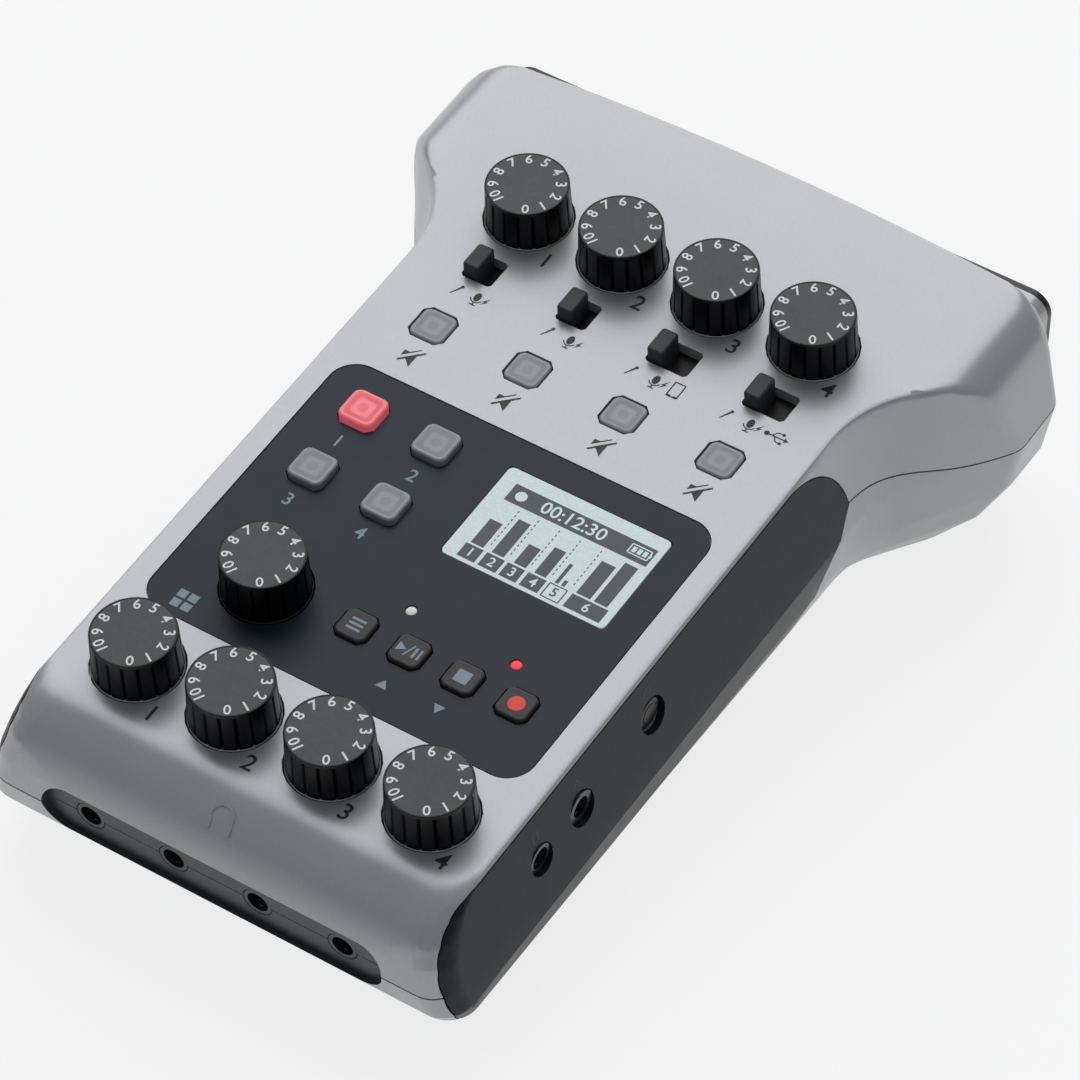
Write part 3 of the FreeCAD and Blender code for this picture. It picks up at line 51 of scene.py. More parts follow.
body_of_node = {node: body for body, members in frame["record"]["behaviour"]["bodies"].items()
                for node in members}
slot_of_node = {entry["node"]: entry["material_slot"] for entry in frame["record"]["subparts"]}
mounts = {mount["name"]: mount for mount in frame["record"]["mounts"]}
print("CAD nodes:", len(nodes))

# %% [markdown]
# ## The deck
# Controls are placed in millimetres on the sloping deck: x to the right, y to the rear from the
# front knob row, z square to the deck. The turning axis of a front knob gives its place, so the
# deck needs no numbers of its own here.

# %% Deck coordinates
MM = 0.001
front_turn = joints["phones_knob_2"]
UP = Vector(front_turn["axis"]).normalized()
RIGHT = Vector((1.0, 0.0, 0.0))
REAR = UP.cross(RIGHT)
CORNER = Vector((0.0, front_turn["pos_m"][1], front_turn["pos_m"][2]))
DECK = Matrix((
    (RIGHT.x, REAR.x, UP.x, CORNER.x),
    (RIGHT.y, REAR.y, UP.y, CORNER.y),
    (RIGHT.z, REAR.z, UP.z, CORNER.z),
    (0.0, 0.0, 0.0, 1.0)))
DECK_MM = DECK @ Matrix.Scale(MM, 4)
FLOOR_MM = Matrix.Scale(MM, 4)


def box_of(node, place):
    """Lowest and highest corner of a CAD node in the millimetres of a place."""
    back = place.inverted()
    corners = [back @ vertex.co for vertex in nodes[node].data.vertices]
    low = Vector([min(corner[axis] for corner in corners) for axis in range(3)])
    high = Vector([max(corner[axis] for corner in corners) for axis in range(3)])
    return low, high


def deck_box(node):
    return box_of(node, DECK_MM)


def knob_spot(node):
    spot = DECK_MM.inverted() @ Vector(joints[node]["pos_m"])
    return spot.x, spot.y


print("deck slope in degrees:", round(math.degrees(math.asin(REAR.z)), 2))

# %% [markdown]
# ## Small tools
# Each one does what a modeller does by hand: deselect, add a primitive, pick faces or edges by
# place, run one operator, and settle the finished piece so that its place lies in its mesh.

# %% Selecting and adding
def deselect():
    if bpy.context.object and bpy.context.object.mode != "OBJECT":
        bpy.ops.object.mode_set(mode="OBJECT")
    bpy.ops.object.select_all(action="DESELECT")


def choose(piece):
    deselect()
    piece.select_set(True)
    bpy.context.view_layer.objects.active = piece


def add(kind, name, **settings):
    deselect()
    getattr(bpy.ops.mesh, "primitive_%s_add" % kind)(**settings)
    piece = bpy.context.object
    piece.name = name
    return piece


def block(name, size, centre):
    """A box with its place and size in its mesh, ready for edit mode."""
    piece = add("cube", name, size=1.0)
    piece.data.transform(Matrix.Translation(centre) @ Matrix.Diagonal((*size, 1.0)))
    return piece


# %% Edit mode
def edit(piece, mode="FACE"):
    """Enters edit mode on one piece with nothing selected."""
    choose(piece)
    bpy.ops.object.mode_set(mode="EDIT")
    bpy.ops.mesh.select_mode(type=mode)
    bpy.ops.mesh.select_all(action="DESELECT")


def pick(piece, test, kind="faces"):
    """Selects the faces, edges or vertices that pass a test, and nothing else."""
    bpy.ops.mesh.select_mode(type={"faces": "FACE", "edges": "EDGE", "verts": "VERT"}[kind])
    bpy.ops.mesh.select_all(action="DESELECT")
    mesh = bmesh.from_edit_mesh(piece.data)
    mesh.normal_update()
    for item in getattr(mesh, kind):
        if test(item):
            item.select_set(True)
    mesh.select_flush_mode()
    bmesh.update_edit_mesh(piece.data)


def middle_of(item):
    points = [vertex.co for vertex in item.verts]
    return sum(points, Vector()) / len(points)


def upright(edge):
    return abs(edge.verts[0].co.z - edge.verts[1].co.z) > 0.1


def done():
    bpy.ops.object.mode_set(mode="OBJECT")


# %% Finishing a mesh
def apply_modifier(piece, kind, **settings):
    choose(piece)
    modifier = piece.modifiers.new(kind.title(), kind)
    for key, value in settings.items():
        setattr(modifier, key, value)
    bpy.ops.object.modifier_apply(modifier=modifier.name)


SLIVER = 0.01 * MM * MM
SMOOTH_ANGLE = 40.0


def shade(piece, degrees=35.0, flat=None):
    """Each face corner takes the mean normal of the faces round it that face nearly the same way.

    Faces that pass the flat test stay perfectly flat, and a sliver takes the mean of all."""
    choose(piece)
    bpy.ops.object.shade_smooth()
    mesh = piece.data
    limit = math.cos(math.radians(degrees))
    faces = [(face.normal.copy(), face.area, bool(flat and flat(face))) for face in mesh.polygons]
    around = [[] for vertex in mesh.vertices]
    for face in mesh.polygons:
        for vertex in face.vertices:
            around[vertex].append(faces[face.index])
    corners = []
    for face in mesh.polygons:
        own, area, is_level = faces[face.index]
        for vertex in face.vertices:
            near = [other for other in around[vertex] if area < SLIVER or other[0].dot(own) > limit]
            level = [other for other in near if other[2]]
            mean = own if is_level else sum((n * size for n, size, _ in level or near), Vector())
            corners.append(mean.normalized() if mean.length else own)
    mesh.normals_split_custom_set(corners)


def settle(piece, place):
    """Puts the place into the mesh and leaves the object at the origin."""
    piece.data.transform(place @ piece.matrix_world)
    piece.matrix_world = Matrix.Identity(4)
    return piece


def copied(piece, name, place):
    twin = piece.copy()
    twin.data = piece.data.copy()
    twin.name = name
    bpy.context.scene.collection.objects.link(twin)
    return settle(twin, place)


def joined(name, pieces):
    """Joins pieces into one mesh that keeps the finishes of them all."""
    choose(pieces[0])
    for piece in pieces[1:]:
        piece.select_set(True)
    if len(pieces) > 1:
        bpy.ops.object.join()
    pieces[0].name = name
    return pieces[0]


def finish_with(piece, *finishes):
    piece.data.materials.clear()
    for material in finishes:
        piece.data.materials.append(material)
    return piece


# %% Giving a piece its body
def stands_for(piece, node):
    """The piece takes the place of a CAD node and moves with the node's body."""
    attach(piece, body_of_node[node])
    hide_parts(node)
    return piece


def belongs_to(piece, body):
    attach(piece, body)
    return piece


def discard(*pieces):
    for piece in pieces:
        bpy.data.objects.remove(piece)


# %% [markdown]
# Round pieces are turned on a lathe. Their half section is a short list of points, made from a
# circle's corners, and the spin operator carries it round the axis.

# %% The lathe
def turned(name, section, steps=48):
    """A round piece about z from its half section, a list of (radius, height)."""
    piece = add("circle", name, vertices=len(section), fill_type="NOTHING")
    for vertex, (radius, height) in zip(piece.data.vertices, section):
        vertex.co = (radius, 0.0, height)
    edit(piece, "EDGE")
    pick(piece, lambda edge: all(vertex.co.x < 1e-6 for vertex in edge.verts), "edges")
    bpy.ops.mesh.delete(type="EDGE")
    bpy.ops.mesh.select_all(action="SELECT")
    bpy.ops.mesh.spin(steps=steps, angle=2 * math.pi, center=(0, 0, 0), axis=(0, 0, 1))
    bpy.ops.mesh.select_all(action="SELECT")
    bpy.ops.mesh.remove_doubles(threshold=1e-4)
    bpy.ops.mesh.select_all(action="SELECT")
    bpy.ops.mesh.normals_make_consistent(inside=False)
    done()
    return piece


# %% [markdown]
# ## Shader values
# A finish is a formula on the piece's own coordinates. The class below lets such a formula be
# written with plain arithmetic, and each operation becomes one node.

# %% Shader values
class Value:
    """An output of a node, with arithmetic that adds nodes."""

    def __init__(self, tree, socket):
        self.tree = tree
        self.socket = socket

    def node(self, kind, inputs=(), output=0, **settings):
        """Adds a node fed by values or constants, and gives one of its outputs."""
        made = self.tree.nodes.new(kind)
        for key, value in settings.items():
            setattr(made, key, value)
        for place, value in dict(inputs).items():
            if isinstance(value, Value):
                self.tree.links.new(value.socket, made.inputs[place])
            else:
                made.inputs[place].default_value = value
        return Value(self.tree, made.outputs[output])

    def math(self, operation, *others):
        inputs = enumerate((self,) + others)
        return self.node("ShaderNodeMath", inputs, operation=operation)

    def __add__(self, other):
        return self.math("ADD", other)

    def __sub__(self, other):
        return self.math("SUBTRACT", other)

    def __mul__(self, other):
        return self.math("MULTIPLY", other)

    def __rsub__(self, other):
        return (self * -1.0) + other

    def power(self, exponent):
        return self.math("POWER", exponent)

    def size(self):
        return self.math("ABSOLUTE")

    def between(self, low, high):
        """0 below low, 1 above high, and a straight rise from one to the other."""
        inputs = {"Value": self, "From Min": low, "From Max": high}
        return self.node("ShaderNodeMapRange", inputs, clamp=True)

    def near(self, middle, half_width):
        """1 at a middle value, falling to 0 at half_width on either side."""
        return 1.0 - (self - middle).size().between(0.0, half_width)

    def blend(self, first, second):
        """Colour that goes from first to second as this value goes from 0 to 1."""
        inputs = {"Factor": self, 6: (*first, 1.0), 7: (*second, 1.0)}
        return self.node("ShaderNodeMix", inputs, output=2, data_type="RGBA")


# %% New finishes
def new_finish(name, colour, roughness, metallic=0.0, **constants):
    """A principled material. Gives it with its shader and its object coordinates in mm."""
    material = bpy.data.materials.new(name)
    material.use_nodes = True
    tree = material.node_tree
    shader = tree.nodes["Principled BSDF"]
    shader.inputs["Base Color"].default_value = (*colour, 1.0)
    shader.inputs["Roughness"].default_value = roughness
    shader.inputs["Metallic"].default_value = metallic
    for key, value in constants.items():
        shader.inputs[key.replace("_", " ")].default_value = value
    coordinates = tree.nodes.new("ShaderNodeTexCoord")
    place = Value(tree, coordinates.outputs["Object"])
    scaled = place.node("ShaderNodeVectorMath", {0: place, 3: 1.0 / MM}, operation="SCALE")
    return material, shader, scaled


def noise(place, size, detail=2.0):
    """Smooth noise around 0.5 whose grains are about size mm wide."""
    inputs = {"Vector": place, "Scale": 1.0 / size, "Detail": detail}
    return place.node("ShaderNodeTexNoise", inputs)


def parts_of(vector):
    """The x, y and z of a vector value."""
    split = vector.node("ShaderNodeSeparateXYZ", {0: vector})
    return [Value(split.tree, output) for output in split.socket.node.outputs]


def bump(shader, height, strength, distance):
    inputs = {"Height": height, "Strength": strength, "Distance": distance}
    bumped = height.node("ShaderNodeBump", inputs)
    height.tree.links.new(bumped.socket, shader.inputs["Normal"])


def feed(shader, name, value):
    value.tree.links.new(value.socket, shader.inputs[name])


# %% [markdown]
# ## Finishes
# The housing has silver paint: fine flakes, a faint orange peel and a soft gloss. The plastics
# differ in gloss and grain. Fine grain is only a few tenths of a millimetre wide.

# %% Silver paint
PAINT_METALLIC = 0.35
FLAKE_SIZE = 0.12
FLAKE_SPREAD = 0.07
GRAIN_HEIGHT = 0.00002


def silver_paint(name, colour, roughness):
    material, shader, place = new_finish(name, colour, roughness, PAINT_METALLIC)
    dark = tuple(channel * (1 - FLAKE_SPREAD) for channel in colour)
    light = tuple(channel * (1 + FLAKE_SPREAD) for channel in colour)
    feed(shader, "Base Color", noise(place, FLAKE_SIZE, 1.0).between(0.3, 0.7).blend(dark, light))
    feed(shader, "Roughness", noise(place, 9.0) * 0.06 + (roughness - 0.03))
    bump(shader, noise(place, 0.35), 0.05, GRAIN_HEIGHT)
    return material


# %% Plastic, rubber and metal
def grained(name, colour, roughness, grain, strength, metallic=0.0, spread=0.15, **constants):
    """Moulded plastic or rubber: a little uneven in colour and gloss, with a fine grain."""
    material, shader, place = new_finish(name, colour, roughness, metallic, **constants)
    dark = tuple(channel * (1 - spread) for channel in colour)
    light = tuple(channel * (1 + spread) for channel in colour)
    feed(shader, "Base Color", noise(place, grain * 4).between(0.3, 0.7).blend(dark, light))
    feed(shader, "Roughness", noise(place, 5.0) * 0.10 + (roughness - 0.05))
    bump(shader, noise(place, grain), strength, GRAIN_HEIGHT)
    return material


# %% [markdown]
# A frosted cap shows its build through its face: a darker channel, a pale square lens and the round
# lamp below it. Its paler rim is a painted highlight along the rounded edge. The pattern is drawn on the cap's own
# map, in mm.

# %% Frosted caps
def frosted(name, dark, light, glow=0.0):
    material, shader, place = new_finish(name, light, 0.30, Coat_Weight=0.35, Coat_Roughness=0.12)
    across, along = parts_of(place.node("ShaderNodeUVMap", uv_map="cap"))[:2]
    square = (across.size().power(6.0) + along.size().power(6.0)).power(1.0 / 6.0)
    round_part = (across * across + along * along).power(0.5)
    # The paler rim is a painted highlight on the rounded edge.
    rim = square.between(2.25, 2.55)
    line = square.near(1.62, 0.18)
    lens = 1.0 - square.between(1.45, 1.62)
    lamp = 1.0 - round_part.between(0.75, 1.0)
    cloud = noise(place, 0.6).between(0.2, 0.8)
    pale = rim * 0.55 + line * 0.25 + lens * 0.62 - lamp * 0.38 + cloud * 0.12 + 0.12
    colour = pale.between(0.0, 1.0).blend(dark, light)
    feed(shader, "Base Color", colour)
    if glow:
        feed(shader, "Emission Color", colour)
        shader.inputs["Emission Strength"].default_value = glow
    return material


# %% Inks and lights
def plain_ink(name, colour, glow=0.0):
    material, shader, place = new_finish(name, colour, 0.5)
    pale = tuple(min(1.0, channel * 1.10) for channel in colour)
    mixed = noise(place, 0.4).between(0.35, 0.65).blend(colour, pale)
    feed(shader, "Base Color", mixed)
    if glow:
        feed(shader, "Emission Color", mixed)
        shader.inputs["Emission Strength"].default_value = glow
    return material


# %% [markdown]
# The cells in the battery tray have a printed sleeve between bare metal ends. Both lie along x,
# so the distance from the middle tells sleeve from metal.

# %% Battery cells
SLEEVE_HALF = 23.6
BAND_INNER = 15.5
SLEEVE_DARK = (0.030, 0.034, 0.045)
BAND_COPPER = (0.42, 0.21, 0.08)
BARE_METAL = (0.62, 0.62, 0.63, 1.0)


def cell_sleeve():
    material, shader, place = new_finish("cell_sleeve", SLEEVE_DARK, 0.35)
    along = parts_of(place)[0].size()
    bare = along.between(SLEEVE_HALF, SLEEVE_HALF + 0.1)
    band = along.between(BAND_INNER, BAND_INNER + 0.1)
    sleeve = band.blend(SLEEVE_DARK, BAND_COPPER)
    inputs = {"Factor": bare, 6: sleeve, 7: BARE_METAL}
    feed(shader, "Base Color", bare.node("ShaderNodeMix", inputs, output=2, data_type="RGBA"))
    feed(shader, "Metallic", bare)
    feed(shader, "Roughness", noise(place, 4.0) * 0.1 + 0.27)
    return material


# %% The palette
SILVER = silver_paint("silver_paint", (0.485, 0.499, 0.523), 0.31)
RING = silver_paint("knob_ring", (0.500, 0.515, 0.540), 0.30)
# Dark grey paint for the jack recess: painted shade, not a colour of the shell.
RECESS_PAINTED_SHADE = silver_paint("recess_grey", (0.075, 0.077, 0.084), 0.42)
SIDE_GREY = grained("side_grey", (0.007, 0.010, 0.014), 0.38, 0.25, 0.06, Specular_IOR_Level=0.28)
PANEL = grained("panel_dark", (0.013, 0.022, 0.034), 0.40, 0.3, 0.02, spread=0.06,
                Specular_IOR_Level=0.25)
KNOB_SIDE = grained("knob_side", (0.002, 0.002, 0.003), 0.32, 0.3, 0.03, Specular_IOR_Level=0.30)
KNOB_TOP = grained("knob_top", (0.052, 0.059, 0.069), 0.50, 0.18, 0.10, spread=0.10)
BLACK = grained("black_plastic", (0.007, 0.007, 0.008), 0.38, 0.25, 0.05)
JACK_RIM = grained("jack_rim", (0.016, 0.018, 0.021), 0.28, 0.3, 0.03)
SWITCH = grained("switch_plastic", (0.030, 0.031, 0.034), 0.55, 0.15, 0.18)
RUBBER = grained("key_rubber", (0.034, 0.030, 0.031), 0.55, 0.12, 0.12)
FOOT = grained("foot_rubber", (0.015, 0.015, 0.015), 0.75, 0.2, 0.25)
METAL = grained("bright_metal", (0.62, 0.60, 0.57), 0.28, 0.4, 0.04, metallic=1.0)
STEEL = grained("screw_steel", (0.22, 0.22, 0.23), 0.35, 0.3, 0.05, metallic=1.0)
BOARD = grained("board_green", (0.010, 0.060, 0.025), 0.45, 0.5, 0.05)
CELL = cell_sleeve()
CLEAR = frosted("frosted_cap", (0.185, 0.205, 0.235), (0.360, 0.390, 0.430))
CLEAR_PAD = frosted("frosted_pad", (0.175, 0.185, 0.205), (0.330, 0.350, 0.385))
LIT_RED = frosted("lit_red_cap", (0.62, 0.020, 0.040), (0.95, 0.200, 0.240), glow=0.35)
# White ink for the knob digits, with a faint painted glow, though ink is no lamp.
GLOWING_WHITE_INK = plain_ink("white_ink", (0.80, 0.82, 0.84), glow=0.05)
DARK_INK = plain_ink("dark_ink", (0.016, 0.017, 0.020))
BLUE_INK = plain_ink("blue_grey_ink", (0.26, 0.34, 0.41))
SIDE_INK = plain_ink("side_ink", (0.045, 0.050, 0.056))
# Red ink for the record mark, with a painted glow, though ink is no lamp.
GLOWING_RED_INK = plain_ink("red_ink", (0.75, 0.05, 0.03), glow=0.15)
WHITE_LIGHT = plain_ink("white_light", (0.80, 0.80, 0.80), glow=0.12)
RED_LIGHT = plain_ink("red_light", (0.90, 0.05, 0.06), glow=0.6)
LCD_PALE = plain_ink("lcd_pale", (0.64, 0.74, 0.76), glow=0.20)
LCD_DARK = plain_ink("lcd_dark", (0.080, 0.092, 0.105))
print("finishes:", len(bpy.data.materials))

# %% [markdown]
# ## Shells and panels
# The CAD meshes are made of loose flat triangles. A copy of each is merged and smooth shaded.
# The faces of the deck and the underside keep their own normals, so that they shade flat to their
# edges and only the rolled edges curve. Small pieces get a fine bevel, so that their edges catch
# the light, and some are drilled first.

# %% Smooth copies
LEVEL = 0.99995
DECK_DEPTH = 0.15
UNDERSIDE_TOP = 1.2
SAME_POINT = 0.002
TOO_THIN = 0.02
SHELL_ANGLE = 32.0


def on_deck_plane(face):
    return face.normal.dot(UP) > LEVEL and (DECK_MM.inverted() @ face.center).z > -DECK_DEPTH


def on_underside(face):
    return face.normal.z < -LEVEL and face.center.z < UNDERSIDE_TOP * MM


def merged_copy(node, quads, cut):
    piece = bpy.data.objects.new(node + "_smooth", nodes[node].data.copy())
    bpy.context.scene.collection.objects.link(piece)
    edit(piece, "VERT")
    bpy.ops.mesh.select_all(action="SELECT")
    bpy.ops.mesh.remove_doubles(threshold=SAME_POINT * MM)
    bpy.ops.mesh.dissolve_degenerate(threshold=TOO_THIN * MM)
    if quads:
        bpy.ops.mesh.tris_convert_to_quads(face_threshold=0.01, shape_threshold=3.0)
    if cut:
        bpy.ops.mesh.select_all(action="SELECT")
        bpy.ops.mesh.bisect(plane_co=(0, cut * MM, 0), plane_no=(0, 1, 0))
    done()
    return piece


def smooth_copy(node, material, bevel=0.0, cutters=(), flat=None, cut=None):
    piece = merged_copy(node, bevel > 0, cut)
    for cutter in cutters:
        apply_modifier(piece, "BOOLEAN", operation="DIFFERENCE", object=cutter, solver="EXACT")
        discard(cutter)
    if bevel:
        apply_modifier(piece, "BEVEL", width=bevel * MM, segments=2, limit_method="ANGLE",
                       angle_limit=math.radians(SMOOTH_ANGLE))
    shade(piece, SMOOTH_ANGLE if bevel else SHELL_ANGLE, flat)
    finish_with(piece, material)
    return stands_for(piece, node)


def paint_faces(piece, material, test):
    """Gives a second finish to the faces that pass a test."""
    piece.data.materials.append(material)
    for face in piece.data.polygons:
        if test(piece, face):
            face.material_index = len(piece.data.materials) - 1


# %% Shells
shells = [smooth_copy("top_shell", SILVER, flat=on_deck_plane),
          smooth_copy("bottom_shell", SILVER, flat=on_underside)]
for side in ("right", "left"):
    smooth_copy("side_panel_" + side, SIDE_GREY)
smooth_copy("control_panel", PANEL, flat=on_deck_plane)
for node, material, bevel in (("battery_door", SILVER, 0.12), ("feet", FOOT, 0.25),
                              ("hold_slide", SWITCH, 0.15), ("usb_socket", METAL, 0.05),
                              ("card_slot", BLACK, 0.1)):
    smooth_copy(node, material, bevel)

# %% [markdown]
# The recess of the headphone jacks gets a dark grey paint. It is painted shade, standing in for the shade
# that falls into it. Its faces are the ones with all corners inside the recess's outline, a slot with round ends.

# %% Jack recess in painted shade
RECESS_HALF = 25.5
RECESS_RADIUS = 4.5
RECESS_DEPTH = 13.0
RECESS_MARGIN = 0.03
NOSE_FACE = -18.0


def in_recess(piece, face):
    for number in face.vertices:
        x, y, z = DECK_MM.inverted() @ piece.data.vertices[number].co
        beyond = max(0.0, abs(x) - RECESS_HALF)
        if y > NOSE_FACE or math.hypot(beyond, z + RECESS_DEPTH) > RECESS_RADIUS + RECESS_MARGIN:
            return False
    return True


# The faces inside the recess take the painted shade.
for shell in shells:
    paint_faces(shell, RECESS_PAINTED_SHADE, in_recess)

# %% [markdown]
# The rear panel is black where it carries the sockets. Its rim continues the silver head, apart
# from the last millimetre.

# %% Rear panel
RIM_BLACK = 1.2
rear_face = box_of("rear_panel", FLOOR_MM)[1].y
rear = smooth_copy("rear_panel", BLACK, 0.35, cut=rear_face - RIM_BLACK)


def is_silver_rim(piece, face):
    return abs(face.normal.y) < 0.5 and face.center.y / MM < rear_face - RIM_BLACK


paint_faces(rear, SILVER, is_silver_rim)

# %% [markdown]
# ## Knobs
# A knob is modelled once for each colour of its ring, and copied to its places. It is a cylinder
# with a slight taper. Two rings are cut into its side below the top, and between the lower ring and the
# foot eighteen narrow grooves are pushed in, so that they end sharply under the rim.

# %% Knob sizes
FLUTES = 18
STEPS_PER_FLUTE = 8
FOOT_RADIUS = 6.88
TOP_RADIUS = 6.60
GROOVE_DEPTH = 0.38
GROOVE_TOP_GAP = 0.5
GROOVE_RUNOUT = 0.12
RIM_BEVEL = 0.16
RIM_WIDTH = 0.2
RING_RADIUS = 6.98
RING_WIDTH = 0.4
RING_SUNK = 1.25
TOP_GAP = 0.04
TOP_FACE = deck_box("phones_knob_2")[1].z - TOP_GAP
KNOB_START = -0.3
TOP_DISH = 0.05
DIGIT_LIFT = 0.015


# %% Knob body
def radial(co):
    return math.hypot(co.x, co.y)


def in_groove(vertex):
    """Whether a corner of the knob's side lies on the middle line of a groove."""
    if vertex.co.z > TOP_FACE - GROOVE_TOP_GAP - 0.5 * GROOVE_RUNOUT or radial(vertex.co) < 1.0:
        return False
    share = (math.atan2(vertex.co.y, vertex.co.x) * FLUTES / (2 * math.pi)) % 1.0
    return abs(share - 0.5) < 0.2 / STEPS_PER_FLUTE


def knob_body():
    height = TOP_FACE - KNOB_START
    body = add("cylinder", "knob_body", vertices=FLUTES * STEPS_PER_FLUTE, radius=FOOT_RADIUS,
               depth=height, location=(0, 0, KNOB_START + height / 2))
    settle(body, Matrix.Identity(4))
    edit(body)
    pick(body, lambda face: face.normal.z > 0.9)
    taper = TOP_RADIUS / FOOT_RADIUS
    bpy.ops.transform.resize(value=(taper, taper, 1))
    for drop in (GROOVE_TOP_GAP, GROOVE_TOP_GAP + GROOVE_RUNOUT):
        bpy.ops.mesh.select_all(action="SELECT")
        bpy.ops.mesh.bisect(plane_co=(0, 0, TOP_FACE - drop), plane_no=(0, 0, 1))
    pick(body, in_groove, "verts")
    deeper = 1.0 - GROOVE_DEPTH / FOOT_RADIUS
    bpy.ops.transform.resize(value=(deeper, deeper, 1), center_override=(0, 0, 0))
    pick(body, lambda edge: middle_of(edge).z > TOP_FACE - 0.01 and radial(middle_of(edge)) > 5,
         "edges")
    bpy.ops.mesh.bevel(offset=RIM_BEVEL, segments=2)
    pick(body, lambda face: face.normal.z > 0.98 and middle_of(face).z > TOP_FACE - 0.05)
    bpy.ops.mesh.inset(thickness=RIM_WIDTH)
    bpy.ops.transform.translate(value=(0, 0, -TOP_DISH))
    done()
    finish_with(body, KNOB_SIDE, KNOB_TOP)
    for face in body.data.polygons:
        if face.normal.z > 0.98 and face.center.z > TOP_FACE - 0.2:
            face.material_index = 1
    shade(body, 28.0)
    return body


# %% [markdown]
# The scale runs from 0 to 10 over 300 degrees. Each digit is a text turned into a mesh, with its
# top to the outside, and 5 points to the rear when the knob is at rest.

# %% Knob scale
SCALE_RADIUS = 5.15
SCALE_STEP = 30.0
DIGIT_SIZE = 2.45
DIGIT_BOLD = 0.035


def text_mesh(name, words, size, material, bold=0.0):
    """A flat mesh of characters, centred on its own middle."""
    deselect()
    bpy.ops.object.text_add()
    text = bpy.context.object
    text.data.body = words
    text.data.size = size
    text.data.align_x = "CENTER"
    text.data.align_y = "CENTER"
    text.data.resolution_u = 3
    text.data.offset = bold
    bpy.ops.object.convert(target="MESH")
    piece = bpy.context.object
    piece.name = name
    return finish_with(piece, material)


def knob_digits():
    digits = []
    for number in range(11):
        digit = text_mesh("digit", str(number), DIGIT_SIZE, GLOWING_WHITE_INK, DIGIT_BOLD)
        turn = Matrix.Rotation(math.radians((number - 5) * SCALE_STEP), 4, "Z")
        out = Matrix.Translation((0, SCALE_RADIUS, TOP_FACE - TOP_DISH + DIGIT_LIFT))
        digits.append(settle(digit, turn @ out))
    return joined("knob_digits", digits)


# %% [markdown]
# A thin ring lies round the foot of each knob, just below the deck: silver in the housing, black
# in the dark panel. It is turned on the lathe.

# %% Knob rings and copies
def knob_ring(material):
    inner = RING_RADIUS - RING_WIDTH
    section = [(inner, -0.06), (RING_RADIUS - 0.1, -0.06), (RING_RADIUS, -0.16),
               (RING_RADIUS, -RING_SUNK), (inner, -RING_SUNK)]
    ring = turned("knob_ring", section, 72)
    shade(ring, SMOOTH_ANGLE)
    return finish_with(ring, material)


def finished_knob(ring_material):
    return joined("knob", [knob_body(), knob_digits(), knob_ring(ring_material)])


deck_knobs = ["mic_knob_%d" % n for n in range(1, 5)] + ["phones_knob_%d" % n for n in range(1, 5)]
for ring_material, names in ((RING, deck_knobs), (BLACK, ["pad_knob"])):
    knob = finished_knob(ring_material)
    for node in names:
        x, y = knob_spot(node)
        turned_knob = copied(knob, node + "_fluted", DECK_MM @ Matrix.Translation((x, y, 0)))
        stands_for(turned_knob, node)
    discard(knob)
print("knobs:", len(deck_knobs) + 1)

# %% [markdown]
# ## Caps of the deck keys
# One cap of each kind is modelled, then copied to each opening. A cap is a block whose upright
# edges and rim are bevelled round. The caps carry a map in mm, which the frosted finish reads.

# %% Rounded blocks
def rounded_block(name, size, low, top, corner, corner_steps, rim):
    """A block with round upright edges and top rim. It is left in edit mode."""
    piece = block(name, (*size, top - low), Vector((0, 0, (top + low) / 2)))
    edit(piece)
    pick(piece, upright, "edges")
    bpy.ops.mesh.bevel(offset=corner, segments=corner_steps)
    pick(piece, lambda edge: middle_of(edge).z > top - 0.01, "edges")
    bpy.ops.mesh.bevel(offset=rim, segments=3)
    return piece


# %% Square caps
CAP_CORNER = 1.30
CAP_RIM = 0.40
CAP_DEPTH = 2.3


def cap(name, size, top, dish):
    """A square cap with round corners and rim and, if dished, a slightly sunken face."""
    piece = rounded_block(name, (size, size), top - CAP_DEPTH, top, CAP_CORNER, 5, CAP_RIM)
    pick(piece, lambda face: face.normal.z > 0.99 and middle_of(face).z > top - 0.01)
    bpy.ops.mesh.inset(thickness=0.2)
    bpy.ops.mesh.inset(thickness=0.25)
    bpy.ops.transform.translate(value=(0, 0, -dish))
    done()
    cap_map = piece.data.uv_layers.new(name="cap")
    for loop in piece.data.loops:
        co = piece.data.vertices[loop.vertex_index].co
        cap_map.data[loop.index].uv = (co.x, co.y)
    shade(piece, SMOOTH_ANGLE)
    return piece


# %% Placing the caps
def cap_place(node):
    low, high = deck_box(node)
    return (low.x + high.x) / 2, (low.y + high.y) / 2, high.z


def place_caps(names, size, dish, materials):
    top = cap_place(names[0])[2]
    pattern = cap("cap_pattern", size, top, dish)
    for node, material in zip(names, materials):
        x, y = cap_place(node)[:2]
        piece = copied(pattern, node + "_cap", DECK_MM @ Matrix.Translation((x, y, 0)))
        finish_with(piece, material)
        stands_for(piece, node)
    discard(pattern)


mutes = ["mute_button_%d" % n for n in range(1, 5)]
pads = ["pad_button_%d" % n for n in range(1, 5)]
keys = ["menu_button", "play_button", "stop_button", "record_button"]
MUTE_SIZE = 6.0
PAD_SIZE = 6.2
KEY_SIZE = 5.4
place_caps(mutes, MUTE_SIZE, 0.06, [CLEAR] * 4)
place_caps(pads, PAD_SIZE, 0.10, [LIT_RED] + [CLEAR_PAD] * 3)
place_caps(keys, KEY_SIZE, 0.04, [RUBBER] * 4)

# %% [markdown]
# ## Source switches
# Each switch is a tall cap on a shutter that closes its slot. Both are blocks, bevelled and joined.

# %% Slide switches
SWITCH_CAP = (2.9, 5.0)
SWITCH_LOW = -2.2
SHUTTER = 0.6


def slide_cap(name, size, low, top, corner, rim, material):
    piece = rounded_block(name, size, low, top, corner, 4, rim)
    done()
    shade(piece, SMOOTH_ANGLE)
    return finish_with(piece, material)


